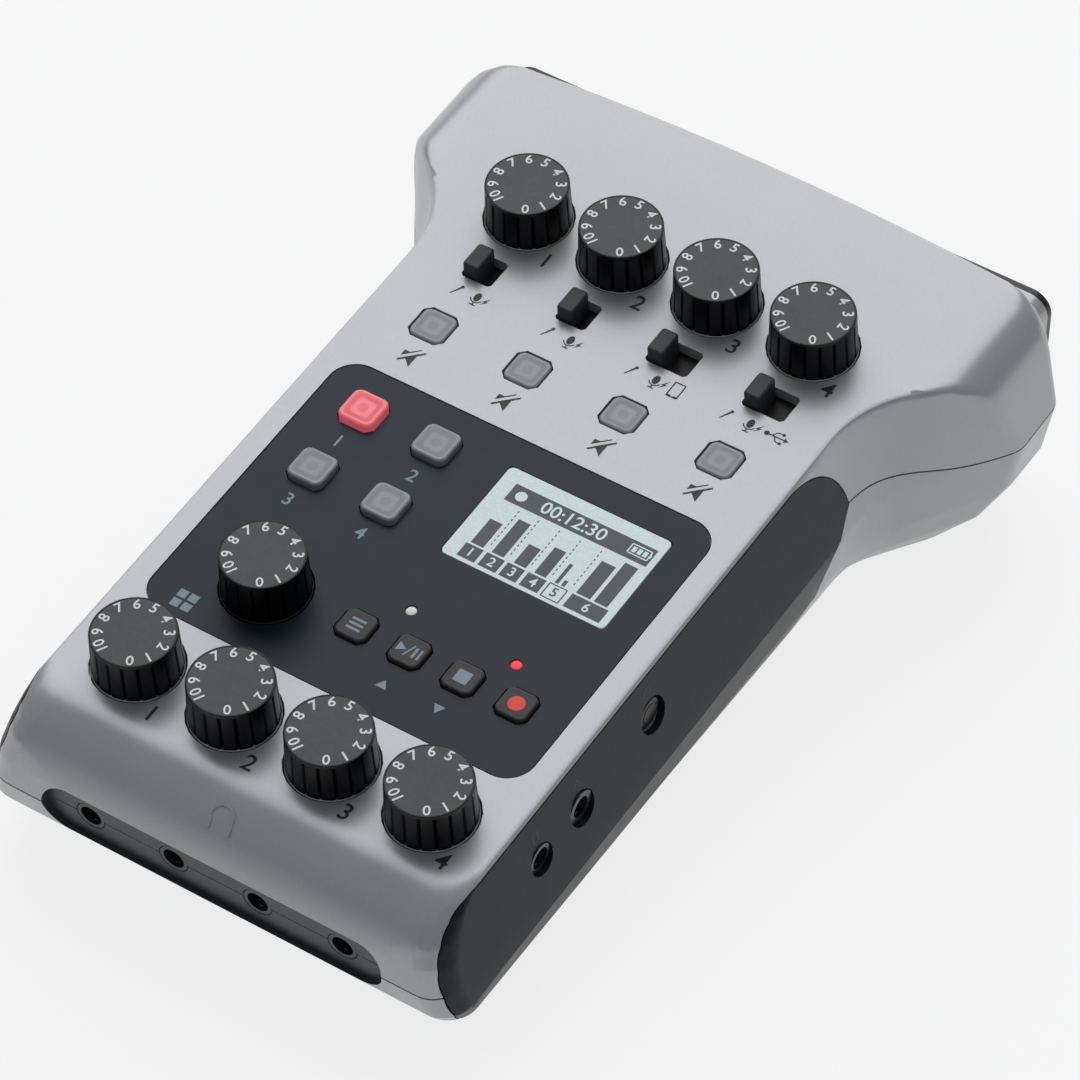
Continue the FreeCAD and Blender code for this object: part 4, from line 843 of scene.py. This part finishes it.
for n in range(1, 5):
    node = "source_switch_%d" % n
    low, high = deck_box(node)
    middle = Matrix.Translation(((low.x + high.x) / 2, (low.y + high.y) / 2, 0))
    switch_cap = slide_cap(node + "_cap", SWITCH_CAP, SWITCH_LOW, high.z, 0.55, 0.42, SWITCH)
    shutter_size = (high.x - low.x, high.y - low.y)
    shutter = slide_cap("shutter", shutter_size, SWITCH_LOW - SHUTTER, SWITCH_LOW, 0.3, 0.1, BLACK)
    slide = settle(joined(node + "_slide", [switch_cap, shutter]), DECK_MM @ middle)
    stands_for(slide, node)
print("caps:", len(mutes + pads + keys), "source switches:", n)


# %% [markdown]
# ## Sockets and the power button
# The jacks keep their CAD form and get soft lips. What gleams inside a jack is a pair of thin
# spring contacts: bevelled blocks that lie along the bore. They are modelled at the mouth of a
# bore that runs down along z, and copied to each jack.

# %% Places that face outwards
def facing(origin, out, up=(0, 0, 1)):
    """A place in mm at an origin in metres, with z pointing out and y up."""
    out = Vector(out).normalized()
    along = Vector(up).cross(out).normalized()
    up = out.cross(along)
    return Matrix((
        (along.x, up.x, out.x, origin[0]),
        (along.y, up.y, out.y, origin[1]),
        (along.z, up.z, out.z, origin[2]),
        (0.0, 0.0, 0.0, 1.0))) @ Matrix.Scale(MM, 4)


def mouth_of(mount_name, node):
    """On a socket's axis, level with the outermost face of its node."""
    origin = Vector(mounts[mount_name]["pos_m"])
    out = Vector(mounts[mount_name]["axis"])
    reach = max((vertex.co - origin).dot(out) for vertex in nodes[node].data.vertices)
    return facing(origin + out * reach, out)


# %% Jacks
BORE = 1.8
CONTACT = (0.7, 0.16, 5.0)
CONTACT_STARTS = ((-1, -0.7), (1, -2.0))
JACKS = ["phones_jack_%d" % n for n in range(1, 5)] + ["line_jack", "phone_jack"]


def spring_contacts():
    springs = []
    for side, start in CONTACT_STARTS:
        middle = Vector((0, side * (BORE - 0.14), start - CONTACT[2] / 2))
        spring = block("contact", CONTACT, middle)
        edit(spring)
        pick(spring, lambda edge: True, "edges")
        bpy.ops.mesh.bevel(offset=0.05, segments=2)
        done()
        shade(spring, SMOOTH_ANGLE)
        springs.append(finish_with(spring, METAL))
    return joined("spring_contacts", springs)


contacts = spring_contacts()
for jack in JACKS:
    smooth_copy(jack, JACK_RIM, 0.18)
    belongs_to(copied(contacts, jack + "_contacts", mouth_of(jack, jack)), "housing")
discard(contacts)
print("jacks:", len(JACKS))

# %% [markdown]
# The power button is turned: a soft rim, a shallow ring and a flat middle.

# %% Power button
BUTTON_RADIUS = 2.7
BUTTON_LENGTH = 6.5
RING_OUTER = 1.95
RING_INNER = 1.55
RING_DEEP = 0.12


def round_button():
    section = [(0.0, -BUTTON_LENGTH), (BUTTON_RADIUS, -BUTTON_LENGTH), (BUTTON_RADIUS, -0.35),
               (BUTTON_RADIUS - 0.1, -0.1), (BUTTON_RADIUS - 0.35, 0.0), (RING_OUTER, 0.0),
               (RING_OUTER - 0.08, -RING_DEEP), (RING_INNER + 0.08, -RING_DEEP), (RING_INNER, 0.0),
               (0.0, 0.0)]
    button = turned("power_button_round", section, 40)
    shade(button, 50.0)
    return finish_with(button, BLACK)


button_low, button_high = box_of("power_button", FLOOR_MM)
button_middle = (button_low + button_high) / 2
button_face = FLOOR_MM @ Vector((button_high.x, button_middle.y, button_middle.z))
stands_for(settle(round_button(), facing(button_face, RIGHT)), "power_button")

# %% [markdown]
# Each microphone socket shows an insert with three contacts inside a round gap. Three holes are
# cut into its face with a boolean modifier, and a turned metal sleeve sits in each. A ridge in
# the gap keys the plug.

# %% Microphone sockets
PIN_CIRCLE = 4.7
PIN_ANGLES = (30, 150, 270)
PIN_HOLE = 1.2
PIN_DEPTH = 5.0
INSERT_RADIUS = 7.9
GAP_RADIUS = 9.8
INSERT_SUNK = 0.8
RIDGE_WIDTH = 1.7
RIDGE_LENGTH = 12.0


def on_pin_circle(angle):
    turn = math.radians(angle)
    return PIN_CIRCLE * math.cos(turn), PIN_CIRCLE * math.sin(turn)


def pin_holes(place):
    holes = []
    for angle in PIN_ANGLES:
        hole = add("cylinder", "hole", vertices=32, radius=PIN_HOLE, depth=2 * PIN_DEPTH,
                   location=(*on_pin_circle(angle), -INSERT_SUNK))
        holes.append(settle(hole, place))
    return joined("pin_holes", holes)


def pin_sleeves():
    section = [(0.0, -PIN_DEPTH), (1.1, -PIN_DEPTH), (1.1, -0.3), (1.0, -0.2), (0.85, -0.2),
               (0.75, -0.3), (0.75, 0.4 - PIN_DEPTH), (0.0, 0.4 - PIN_DEPTH)]
    sleeves = []
    for angle in PIN_ANGLES:
        sleeve = turned("sleeve", section, 32)
        shade(sleeve, SMOOTH_ANGLE)
        finish_with(sleeve, METAL)
        x, y = on_pin_circle(angle)
        sleeves.append(settle(sleeve, Matrix.Translation((x, y, -INSERT_SUNK))))
    return joined("pin_sleeves", sleeves)


def key_ridge():
    height = GAP_RADIUS - INSERT_RADIUS + 0.3
    middle = Vector((0, (GAP_RADIUS + INSERT_RADIUS) / 2, -1.2 - RIDGE_LENGTH / 2))
    ridge = block("ridge", (RIDGE_WIDTH, height, RIDGE_LENGTH), middle)
    edit(ridge)
    pick(ridge, lambda edge: middle_of(edge).z > middle.z + 1, "edges")
    bpy.ops.mesh.bevel(offset=0.3, segments=3)
    done()
    shade(ridge, SMOOTH_ANGLE)
    return finish_with(ridge, JACK_RIM)


socket_details = joined("socket_details", [pin_sleeves(), key_ridge()])
for n in range(1, 5):
    node = "xlr_socket_%d" % n
    mouth = mouth_of("xlr_insert_%d" % n, node)
    smooth_copy(node, JACK_RIM, 0.2, [pin_holes(mouth)])
    belongs_to(copied(socket_details, node + "_details", mouth), "housing")
discard(socket_details)

# %% [markdown]
# The housing screws have a cross recess. It is cut with one row of bars and then with a second row
# turned across it, because bars that overlap in one cutter spoil the cut.

# %% Screws
RECESS = (2.5, 0.6, 1.0)


def screw_heads():
    """The middle of each head's outer face, from the node's corners in each quadrant."""
    corners = [vertex.co / MM for vertex in nodes["screws"].data.vertices]
    heads = []
    for across in (-1, 1):
        for along in (-1, 1):
            own = [corner for corner in corners if corner.x * across > 0 and corner.y * along > 0]
            x = (min(corner.x for corner in own) + max(corner.x for corner in own)) / 2
            y = (min(corner.y for corner in own) + max(corner.y for corner in own)) / 2
            heads.append(Vector((x, y, min(corner.z for corner in own))))
    return heads


def recess_bars(turn):
    """One bar through each head. The bars of one turn don't meet, so they cut as one piece."""
    bars = []
    for head in screw_heads():
        place = FLOOR_MM @ Matrix.Translation(head) @ Matrix.Rotation(turn, 4, "Z")
        bars.append(settle(block("recess_bar", RECESS, Vector((0, 0, 0))), place))
    return joined("recess_bars_%d" % round(math.degrees(turn)), bars)


screws = smooth_copy("screws", STEEL, 0.0, [recess_bars(0.0), recess_bars(math.pi / 2)])
print("screws:", len(screw_heads()), "faces:", len(screws.data.polygons))

# %% [markdown]
# ## Printed marks
# Marks on the deck are ink: thin flat shapes just above the paint. A mark is a short list of
# outlines in mm, and each outline is a flat circle whose corners are moved to their places.

# %% Outlines
PRINT = 0.02
LAYER = 0.01


def outline(points):
    face = add("circle", "mark", vertices=len(points), fill_type="NGON")
    for vertex, (x, y) in zip(face.data.vertices, points):
        vertex.co = (x, y, 0.0)
    return face


def stroke(a, b, width):
    """Corners of a straight bar from a to b."""
    along = Vector((b[0] - a[0], b[1] - a[1])).normalized() * (width / 2)
    side = Vector((-along.y, along.x))
    return [(a[0] + side.x, a[1] + side.y), (a[0] - side.x, a[1] - side.y),
            (b[0] - side.x, b[1] - side.y), (b[0] + side.x, b[1] + side.y)]


def on_circle(x, y, radius, angle):
    turn = math.radians(angle)
    return x + radius * math.cos(turn), y + radius * math.sin(turn)


def disc(x, y, radius, count=20):
    return [on_circle(x, y, radius, 360.0 * n / count) for n in range(count)]


def arc(x, y, radius, first, last, width, count=10):
    """Short strokes along part of a circle."""
    ends = [on_circle(x, y, radius, first + (last - first) * n / count) for n in range(count + 1)]
    return [stroke(ends[n], ends[n + 1], width) for n in range(count)]


def rectangle(x0, x1, y0, y1):
    return [(x0, y0), (x1, y0), (x1, y1), (x0, y1)]


def frame_lines(x0, x1, y0, y1, width):
    corners = rectangle(x0, x1, y0, y1)
    return [stroke(corners[n], corners[(n + 1) % 4], width) for n in range(4)]


# %% Printing on a surface
def at(x, y, z=PRINT):
    return DECK_MM @ Matrix.Translation((x, y, z))


def shape(name, outlines, material):
    return finish_with(joined(name, [outline(points) for points in outlines]), material)


def mark(name, outlines, material, place, body="housing"):
    return belongs_to(settle(shape(name, outlines, material), place), body)


def label(name, words, size, bold, material, place):
    text = text_mesh(name, words, size, material, bold)
    return belongs_to(settle(text, place), "housing")


# %% Numbers and index lines
REAR_NUMBERS = (-18.5, -1.6, 15.5, 32.3)
FRONT_NUMBERS = (-18.8, -1.5, 15.3, 31.9)
REAR_NUMBER_Y = 97.4
FRONT_NUMBER_Y = -6.5
NUMBER_SIZE = 4.1
INDEX_NEAR = 7.5
INDEX_FAR = 8.7
INDEX_WIDTH = 0.4
for row, y, places in (("rear", REAR_NUMBER_Y, REAR_NUMBERS), ("front", FRONT_NUMBER_Y, FRONT_NUMBERS)):
    for n, x in enumerate(places, 1):
        label("number_%s_%d" % (row, n), str(n), NUMBER_SIZE, 0.05, DARK_INK, at(x, y))
index_lines = []
for node in deck_knobs:
    x, y = knob_spot(node)
    index_lines.append(stroke((x, y + INDEX_NEAR), (x, y + INDEX_FAR), INDEX_WIDTH))
mark("index_lines", index_lines, DARK_INK, at(0, 0))

# %% [markdown]
# A crossed speaker stands by each mute button. A wider silver bar below the slash keeps it clear
# of the speaker, as a printer would leave it bare.

# %% Mute marks
MUTE_MARKS = (-25.2, -8.0, 9.2, 26.2)
MUTE_MARK_Y = 70.4
speaker = [rectangle(-1.65, -0.7, -0.7, 0.7), [(-0.7, -0.7), (0.7, -2.0), (0.7, 2.0), (-0.7, 0.7)]]
bare_band = [stroke((-2.0, -1.3), (1.3, 1.9), 0.5)]
slash = [stroke((-1.65, -1.6), (1.65, 1.6), 0.26)]
for n, x in enumerate(MUTE_MARKS, 1):
    mark("mute_mark_%d" % n, speaker, DARK_INK, at(x, MUTE_MARK_Y))
    mark("mute_bare_%d" % n, bare_band, SILVER, at(x, MUTE_MARK_Y, PRINT + LAYER))
    mark("mute_slash_%d" % n, slash, DARK_INK, at(x, MUTE_MARK_Y, PRINT + 2 * LAYER))

# %% Source marks
stick_mic = [[(-0.68, -1.10), (-0.52, -1.20), (0.55, 0.55), (0.25, 0.75)], disc(0.50, 0.82, 0.30)]
capsule = [(0.58 * x, 0.25 + 0.92 * y) for x, y in disc(0, 0, 1.0)]
bolt = [(2.10, 1.05), (1.05, -0.20), (1.48, -0.12), (0.95, -0.95), (2.05, 0.12), (1.62, 0.10)]
head_mic = [capsule, bolt, stroke((0, -1.0), (0, -1.45), 0.24), stroke((-0.5, -1.45), (0.5, -1.45), 0.22)]
head_mic += arc(0, 0.1, 1.0, 200, 340, 0.2)
phone_mark = frame_lines(-0.9, 0.9, -1.45, 1.45, 0.22)
phone_mark += [rectangle(-0.9, -0.25, -1.5, -1.15), rectangle(0.25, 0.9, -1.5, -1.15)]
plug_mark = [stroke((-1.8, 0), (1.2, 0), 0.22), disc(-1.8, 0, 0.45), stroke((-0.9, 0), (-0.2, 0.9), 0.2),
             stroke((-0.2, 0.9), (0.6, 0.9), 0.2), disc(0.7, 0.9, 0.3, 12),
             stroke((-0.5, 0), (0.2, -0.9), 0.2), stroke((0.2, -0.9), (0.8, -0.9), 0.2),
             rectangle(0.7, 1.2, -1.15, -0.65), [(1.2, -0.45), (2.0, 0), (1.2, 0.45)]]
SOURCE_MARK_Y = 85.5
source_marks = [
    (stick_mic, -26.9), (head_mic, -23.3), (stick_mic, -10.3), (head_mic, -6.3),
    (stick_mic, 4.8), (head_mic, 9.1), (phone_mark, 12.8),
    (stick_mic, 21.8), (head_mic, 25.9), (plug_mark, 30.7)]
for n, (outlines, x) in enumerate(source_marks, 1):
    mark("source_mark_%02d" % n, outlines, DARK_INK, at(x, SOURCE_MARK_Y))
print("source marks:", len(source_marks), "mute marks:", len(MUTE_MARKS))

# %% [markdown]
# Marks on the dark panel are blue-grey: a plain number by each pad, four small squares by the
# level knob, and two small arrows by the keys.

# %% Marks on the panel
PANEL_Z = deck_box("control_panel")[1].z + PRINT
PAD_LABELS = ((-25.2, 50.6), (-11.8, 50.7), (-25.1, 37.3), (-12.2, 37.5))
PAD_LABEL_SIZE = 3.3
pad_squares = [rectangle(x, x + 1.5, y, y + 1.5) for x in (-1.7, 0.2) for y in (-1.7, 0.2)]
mark("pad_mark", pad_squares, BLUE_INK, at(-27.0, 13.4, PANEL_Z))
up_arrow = [[(-0.95, -0.75), (0.95, -0.75), (0, 0.85)]]
down_arrow = [[(-0.95, 0.75), (0, -0.85), (0.95, 0.75)]]
mark("up_mark", up_arrow, BLUE_INK, at(6.7, 15.7, PANEL_Z))
mark("down_mark", down_arrow, BLUE_INK, at(16.0, 16.0, PANEL_Z))
for n, (x, y) in enumerate(PAD_LABELS, 1):
    label("pad_label_%d" % n, str(n), PAD_LABEL_SIZE, 0.03, BLUE_INK, at(x, y, PANEL_Z))

# %% Marks on the keys
menu_bars = [rectangle(-1.2, 1.2, y - 0.21, y + 0.21) for y in (-0.9, 0.0, 0.9)]
play_mark = [[(-2.2, -1.0), (-0.5, 0), (-2.2, 1.0)], stroke((-0.45, -1.15), (0.45, 1.15), 0.26),
             rectangle(0.75, 1.2, -1.0, 1.0), rectangle(1.65, 2.1, -1.0, 1.0)]
stop_mark = [rectangle(-1.15, 1.15, -1.15, 1.15)]
record_mark = [disc(0, 0, 1.35, 28)]
# The record mark takes the red ink with its painted glow.
key_marks = (("menu_button", menu_bars, BLUE_INK), ("play_button", play_mark, BLUE_INK),
             ("stop_button", stop_mark, BLUE_INK), ("record_button", record_mark, GLOWING_RED_INK))
for node, outlines, material in key_marks:
    x, y, top = cap_place(node)
    mark(node + "_mark", outlines, material, at(x, y, top - 0.04 + PRINT), node)

# %% [markdown]
# On the nose a pair of headphones is raised a tenth of a millimetre in the shell's own colour.
# The icon is drawn flat, bent over the rolled edge by the formula of its ellipse, and thickened.

# %% Raised mark on the nose
NOSE_CENTRE_Y = -8.0
NOSE_CENTRE_Z = -13.0
NOSE_Y = 12.4
NOSE_Z = 13.0
NOSE_MARK = (-0.4, 36.0)
NOSE_RAISE = 0.10
NOSE_LIFT = 0.01


def on_nose(point):
    """Bends a flat point over the nose: x stays, y runs up along the rolled edge."""
    angle = math.radians(NOSE_MARK[1]) - point.y / NOSE_Y
    y = NOSE_CENTRE_Y - (NOSE_Y + NOSE_LIFT) * math.sin(angle)
    z = NOSE_CENTRE_Z + (NOSE_Z + NOSE_LIFT) * math.cos(angle)
    return Vector((point.x + NOSE_MARK[0], y, z))


headphones = arc(0, 0.2, 1.9, -10, 190, 0.32, 16)
headphones += [rectangle(side * 1.75 - 0.4, side * 1.75 + 0.4, y - 0.45, y + 0.45)
               for side in (-1, 1) for y in (-1.5, -0.6)]
raised = shape("nose_headphones", headphones, SILVER)
for vertex in raised.data.vertices:
    vertex.co = on_nose(vertex.co)
apply_modifier(raised, "SOLIDIFY", thickness=2 * NOSE_RAISE, offset=0.0)
belongs_to(settle(raised, DECK_MM), "housing")

# %% Marks on the right side
SIDE_AT_DECK = 37.9
SIDE_FLARE = 0.223


def on_side(y, depth):
    """A place on the right side, which leans out, at a distance below the deck."""
    spot = DECK_MM @ Vector((SIDE_AT_DECK + SIDE_FLARE * depth + PRINT, y, -depth))
    out = DECK.to_3x3() @ Vector((1.0, 0.0, SIDE_FLARE))
    return facing(spot, out, UP)


power_mark = arc(0, 0, 0.8, -60, 240, 0.22, 16) + [stroke((0, 0.1), (0, 1.15), 0.22)]
line_mark = arc(0, 0, 0.75, 0, 360, 0.2, 16) + [disc(0, 0, 0.28, 12)]
phone_side_mark = frame_lines(-0.6, 0.6, -0.95, 0.95, 0.2)
for name, outlines, y, depth in (("power_mark", power_mark, 36.5, 3.4), ("line_mark", line_mark, 17.3, 4.1),
                                 ("phone_side_mark", phone_side_mark, 6.6, 4.3)):
    mark(name, outlines, SIDE_INK, on_side(y, depth))

# %% Marks on the rear and below
REAR_NUMBER_RISE = 12.4
REAR_NUMBER_SIZE = 2.3
REAR_RIB = 0.205
for n in range(1, 5):
    mouth = mouth_of("xlr_insert_%d" % n, "xlr_socket_%d" % n)
    above = mouth @ Matrix.Translation((0, REAR_NUMBER_RISE, REAR_RIB))
    label("rear_number_%d" % n, str(n), REAR_NUMBER_SIZE, 0.02, BLUE_INK, above)
DOOR_ARROW_IN = 9.0
door_low = box_of("battery_door", FLOOR_MM)[0]
door_face = FLOOR_MM @ Vector((0, door_low.y + DOOR_ARROW_IN, door_low.z - PRINT))
arrow = [[(-1.6, -1.0), (1.6, -1.0), (0, 1.4)]]
below_door = facing(door_face, (0, 0, -1), (0, 1, 0))
mark("door_arrow", arrow, SIDE_INK, below_door, "battery_door")

# %% [markdown]
# ## Display and lights
# The display lies just under the panel's face. It shows a running counter, level bars and a row
# of numbered cells. Its glass is a block with round corners, and all that it shows is printed
# just above it.

# %% Display glass
GLASS_CORNER = 0.9
GLASS_THICK = 0.8
GLASS_GAP = 0.05
window_low, window_high = deck_box("display_window")
GLASS_Z = window_high.z - GLASS_GAP
window_middle = (window_low + window_high) / 2
glass_size = (window_high.x - window_low.x - GLASS_GAP, window_high.y - window_low.y - GLASS_GAP,
              GLASS_THICK)
glass = block("display_glass", glass_size, window_middle)
glass.data.transform(Matrix.Translation((0, 0, GLASS_Z - GLASS_THICK / 2 - window_middle.z)))
edit(glass)
pick(glass, upright, "edges")
bpy.ops.mesh.bevel(offset=GLASS_CORNER, segments=4)
done()
shade(glass)
finish_with(glass, LCD_PALE)
stands_for(settle(glass, DECK_MM), "display_window")

# %% What the display shows
LCD_MARK = GLASS_Z + LAYER
LCD_TEXT = GLASS_Z + 2 * LAYER
HEADER = (2.3, 27.35, 54.15, 57.7)
BAR_FOOT = 44.7
CELL_ROW = (41.6, 44.35)
BARS = ((2.7, 4.9, 50.0), (6.4, 8.5, 52.1), (10.3, 12.4, 48.9), (13.9, 15.9, 50.4),
        (17.5, 18.1, 48.9), (18.6, 19.2, 45.9), (21.25, 23.7, 51.8), (24.35, 26.65, 53.3))
CELLS = ((2.2, 5.3), (5.9, 9.06), (9.6, 12.6), (13.2, 16.4), (20.9, 27.2))
OPEN_CELL = (17.0, 20.0)
OPEN_CELL_NUMBER = 5
DIVIDERS = (5.5, 9.0, 12.7, 16.4, 20.1)
DIVIDER_TOP = 53.4
DASH = 0.45

lcd_dark = [rectangle(*HEADER)]
lcd_dark += [rectangle(x0, x1, BAR_FOOT, top) for x0, x1, top in BARS]
lcd_dark += [rectangle(x0, x1, *CELL_ROW) for x0, x1 in CELLS]
lcd_dark += frame_lines(*OPEN_CELL, *CELL_ROW, 0.22)
dashes = int((DIVIDER_TOP - BAR_FOOT) / (2 * DASH))
for x in DIVIDERS:
    lcd_dark += [rectangle(x, x + 0.18, DIVIDER_TOP - (2 * n + 1) * DASH, DIVIDER_TOP - 2 * n * DASH)
                 for n in range(dashes)]
mark("lcd_dark_marks", lcd_dark, LCD_DARK, at(0, 0, LCD_MARK))

lcd_pale = [disc(4.3, 55.9, 0.95, 24), rectangle(26.9, 27.1, 55.75, 56.45)]
lcd_pale += frame_lines(23.4, 26.8, 55.2, 57.0, 0.22)
lcd_pale += [rectangle(x, x + 0.7, 55.55, 56.65) for x in (23.8, 24.75, 25.7)]
mark("lcd_pale_marks", lcd_pale, LCD_PALE, at(0, 0, LCD_TEXT))

label("lcd_counter", "00:12:30", 3.3, 0.04, LCD_PALE, at(13.6, 55.9, LCD_TEXT))
cell_middles = [(x0 + x1) / 2 for x0, x1 in CELLS[:4] + (OPEN_CELL,) + CELLS[4:]]
for n, x in enumerate(cell_middles, 1):
    ink = LCD_DARK if n == OPEN_CELL_NUMBER else LCD_PALE
    label("lcd_cell_%d" % n, str(n), 2.4, 0.03, ink, at(x, sum(CELL_ROW) / 2, LCD_TEXT))

# %% Indicator lights
LAMP_RADIUS = 0.88
LAMP_FLATNESS = 0.34
LAMPS = (("white_lamp", 2.5, 29.3, WHITE_LIGHT), ("red_lamp", 21.2, 28.9, RED_LIGHT))
lamp_top = deck_box("indicator_lights")[1].z
lamps = []
for name, x, y, material in LAMPS:
    lamp = add("uv_sphere", name, segments=24, ring_count=12, radius=LAMP_RADIUS)
    settle(lamp, Matrix.Diagonal((1, 1, LAMP_FLATNESS, 1)))
    edit(lamp)
    bpy.ops.mesh.select_all(action="SELECT")
    bpy.ops.mesh.bisect(plane_co=(0, 0, 0), plane_no=(0, 0, 1), clear_inner=True)
    pick(lamp, lambda edge: edge.is_boundary, "edges")
    bpy.ops.mesh.extrude_region_move(TRANSFORM_OT_translate={"value": (0, 0, -1.0)})
    bpy.ops.mesh.edge_face_add()
    done()
    shade(lamp, 60.0)
    finish_with(lamp, material)
    lamps.append(settle(lamp, Matrix.Translation((x, y, lamp_top - LAMP_RADIUS * LAMP_FLATNESS))))
stands_for(settle(joined("indicator_lamps", lamps), DECK_MM), "indicator_lights")

# %% [markdown]
# ## Carried CAD nodes
# The pieces inside keep their CAD meshes and get the finish of their kind here.

# %% Finishes of the carried nodes
carried = {
    "jack_black": BLACK, "component": METAL, "board": BOARD, "cell": CELL, "foot": FOOT,
    "switch_dark": SWITCH, "display": LCD_PALE, "light_pipe": WHITE_LIGHT, "silver_door": SILVER,
    "clear_key": CLEAR, "rubber_key": RUBBER, "knob": KNOB_SIDE, "window": LCD_PALE,
    "silver_shell": SILVER, "side_grey": SIDE_GREY, "panel_dark": PANEL}
for node, slot in slot_of_node.items():
    finish_with(nodes[node], carried[slot])

# %% [markdown]
# ## Studio
# The photo has one broad soft light above the rear left and a plain white table. The light is so
# wide that the whole deck mirrors it. The camera has the photo's angle.
#
# The table is matt and catches the shadow. To the eye of the camera, and in a reflection, most of
# its colour is replaced by plain white, so that it looks white without more light on the object.

# %% Floor
FLOOR_WHITE = 0.80


def floor_finish():
    material, shader, place = new_finish("floor_white", (0.9, 0.9, 0.9), 0.7)
    shade_of_white = noise(place, 90.0).between(0.2, 0.8).blend((0.90, 0.90, 0.90), (0.92, 0.92, 0.92))
    feed(shader, "Base Color", shade_of_white)
    rays = [place.node("ShaderNodeLightPath", output=name) for name in
            ("Is Camera Ray", "Is Glossy Ray", "Is Transmission Ray")]
    seen = (rays[0] + rays[1] + rays[2]).between(0.0, 1.0)
    white = place.node("ShaderNodeEmission", {"Color": (1.0, 1.0, 1.0, 1.0), "Strength": 1.0})
    paint = Value(place.tree, shader.outputs["BSDF"])
    mixed = place.node("ShaderNodeMixShader", {0: seen * FLOOR_WHITE, 1: paint, 2: white})
    surface = place.tree.nodes["Material Output"].inputs["Surface"]
    place.tree.links.new(mixed.socket, surface)
    return material


floor = add("plane", "floor", size=3.0)
finish_with(floor, floor_finish())


# %% Lights
def softbox(name, place, size, power):
    """A square area light that looks at the middle of the floor."""
    deselect()
    bpy.ops.object.light_add(type="AREA", location=place)
    light = bpy.context.object
    light.name = name
    light.data.shape = "SQUARE"
    light.data.size = size
    light.data.energy = power
    light.rotation_euler = (-Vector(place)).to_track_quat("-Z", "Y").to_euler()


LIGHT_PLACE = (-0.75, 1.25, 1.55)
LIGHT_SIZE = 2.6
LIGHT_POWER = 36.0
softbox("key_light", LIGHT_PLACE, LIGHT_SIZE, LIGHT_POWER)

# %% World
WORLD_LEVEL = 0.25
world = bpy.data.worlds.new("studio")
bpy.context.scene.world = world
world.use_nodes = True
background = world.node_tree.nodes["Background"]
background.inputs["Strength"].default_value = WORLD_LEVEL
background.inputs["Color"].default_value = (0.93, 0.96, 1.0, 1.0)

# %% Camera
AIM = Vector((0.0083, -0.0037, 0.028))
DISTANCE = 0.8634
TURN = math.radians(-57.825)
RISE = math.radians(45.428)
ROLL = math.radians(1.483)
away = Vector((math.cos(TURN) * math.cos(RISE), math.sin(TURN) * math.cos(RISE), math.sin(RISE)))
deselect()
bpy.ops.object.camera_add(location=AIM + away * DISTANCE)
camera = bpy.context.object
camera.data.lens = 192.98
camera.data.sensor_width = 36.0
camera.matrix_world = (Matrix.Translation(AIM + away * DISTANCE)
                       @ Matrix.Rotation(TURN + math.pi / 2, 4, "Z")
                       @ Matrix.Rotation(math.pi / 2 - RISE, 4, "X")
                       @ Matrix.Rotation(ROLL, 4, "Z"))
bpy.context.scene.camera = camera
bpy.context.scene.view_settings.view_transform = "Standard"
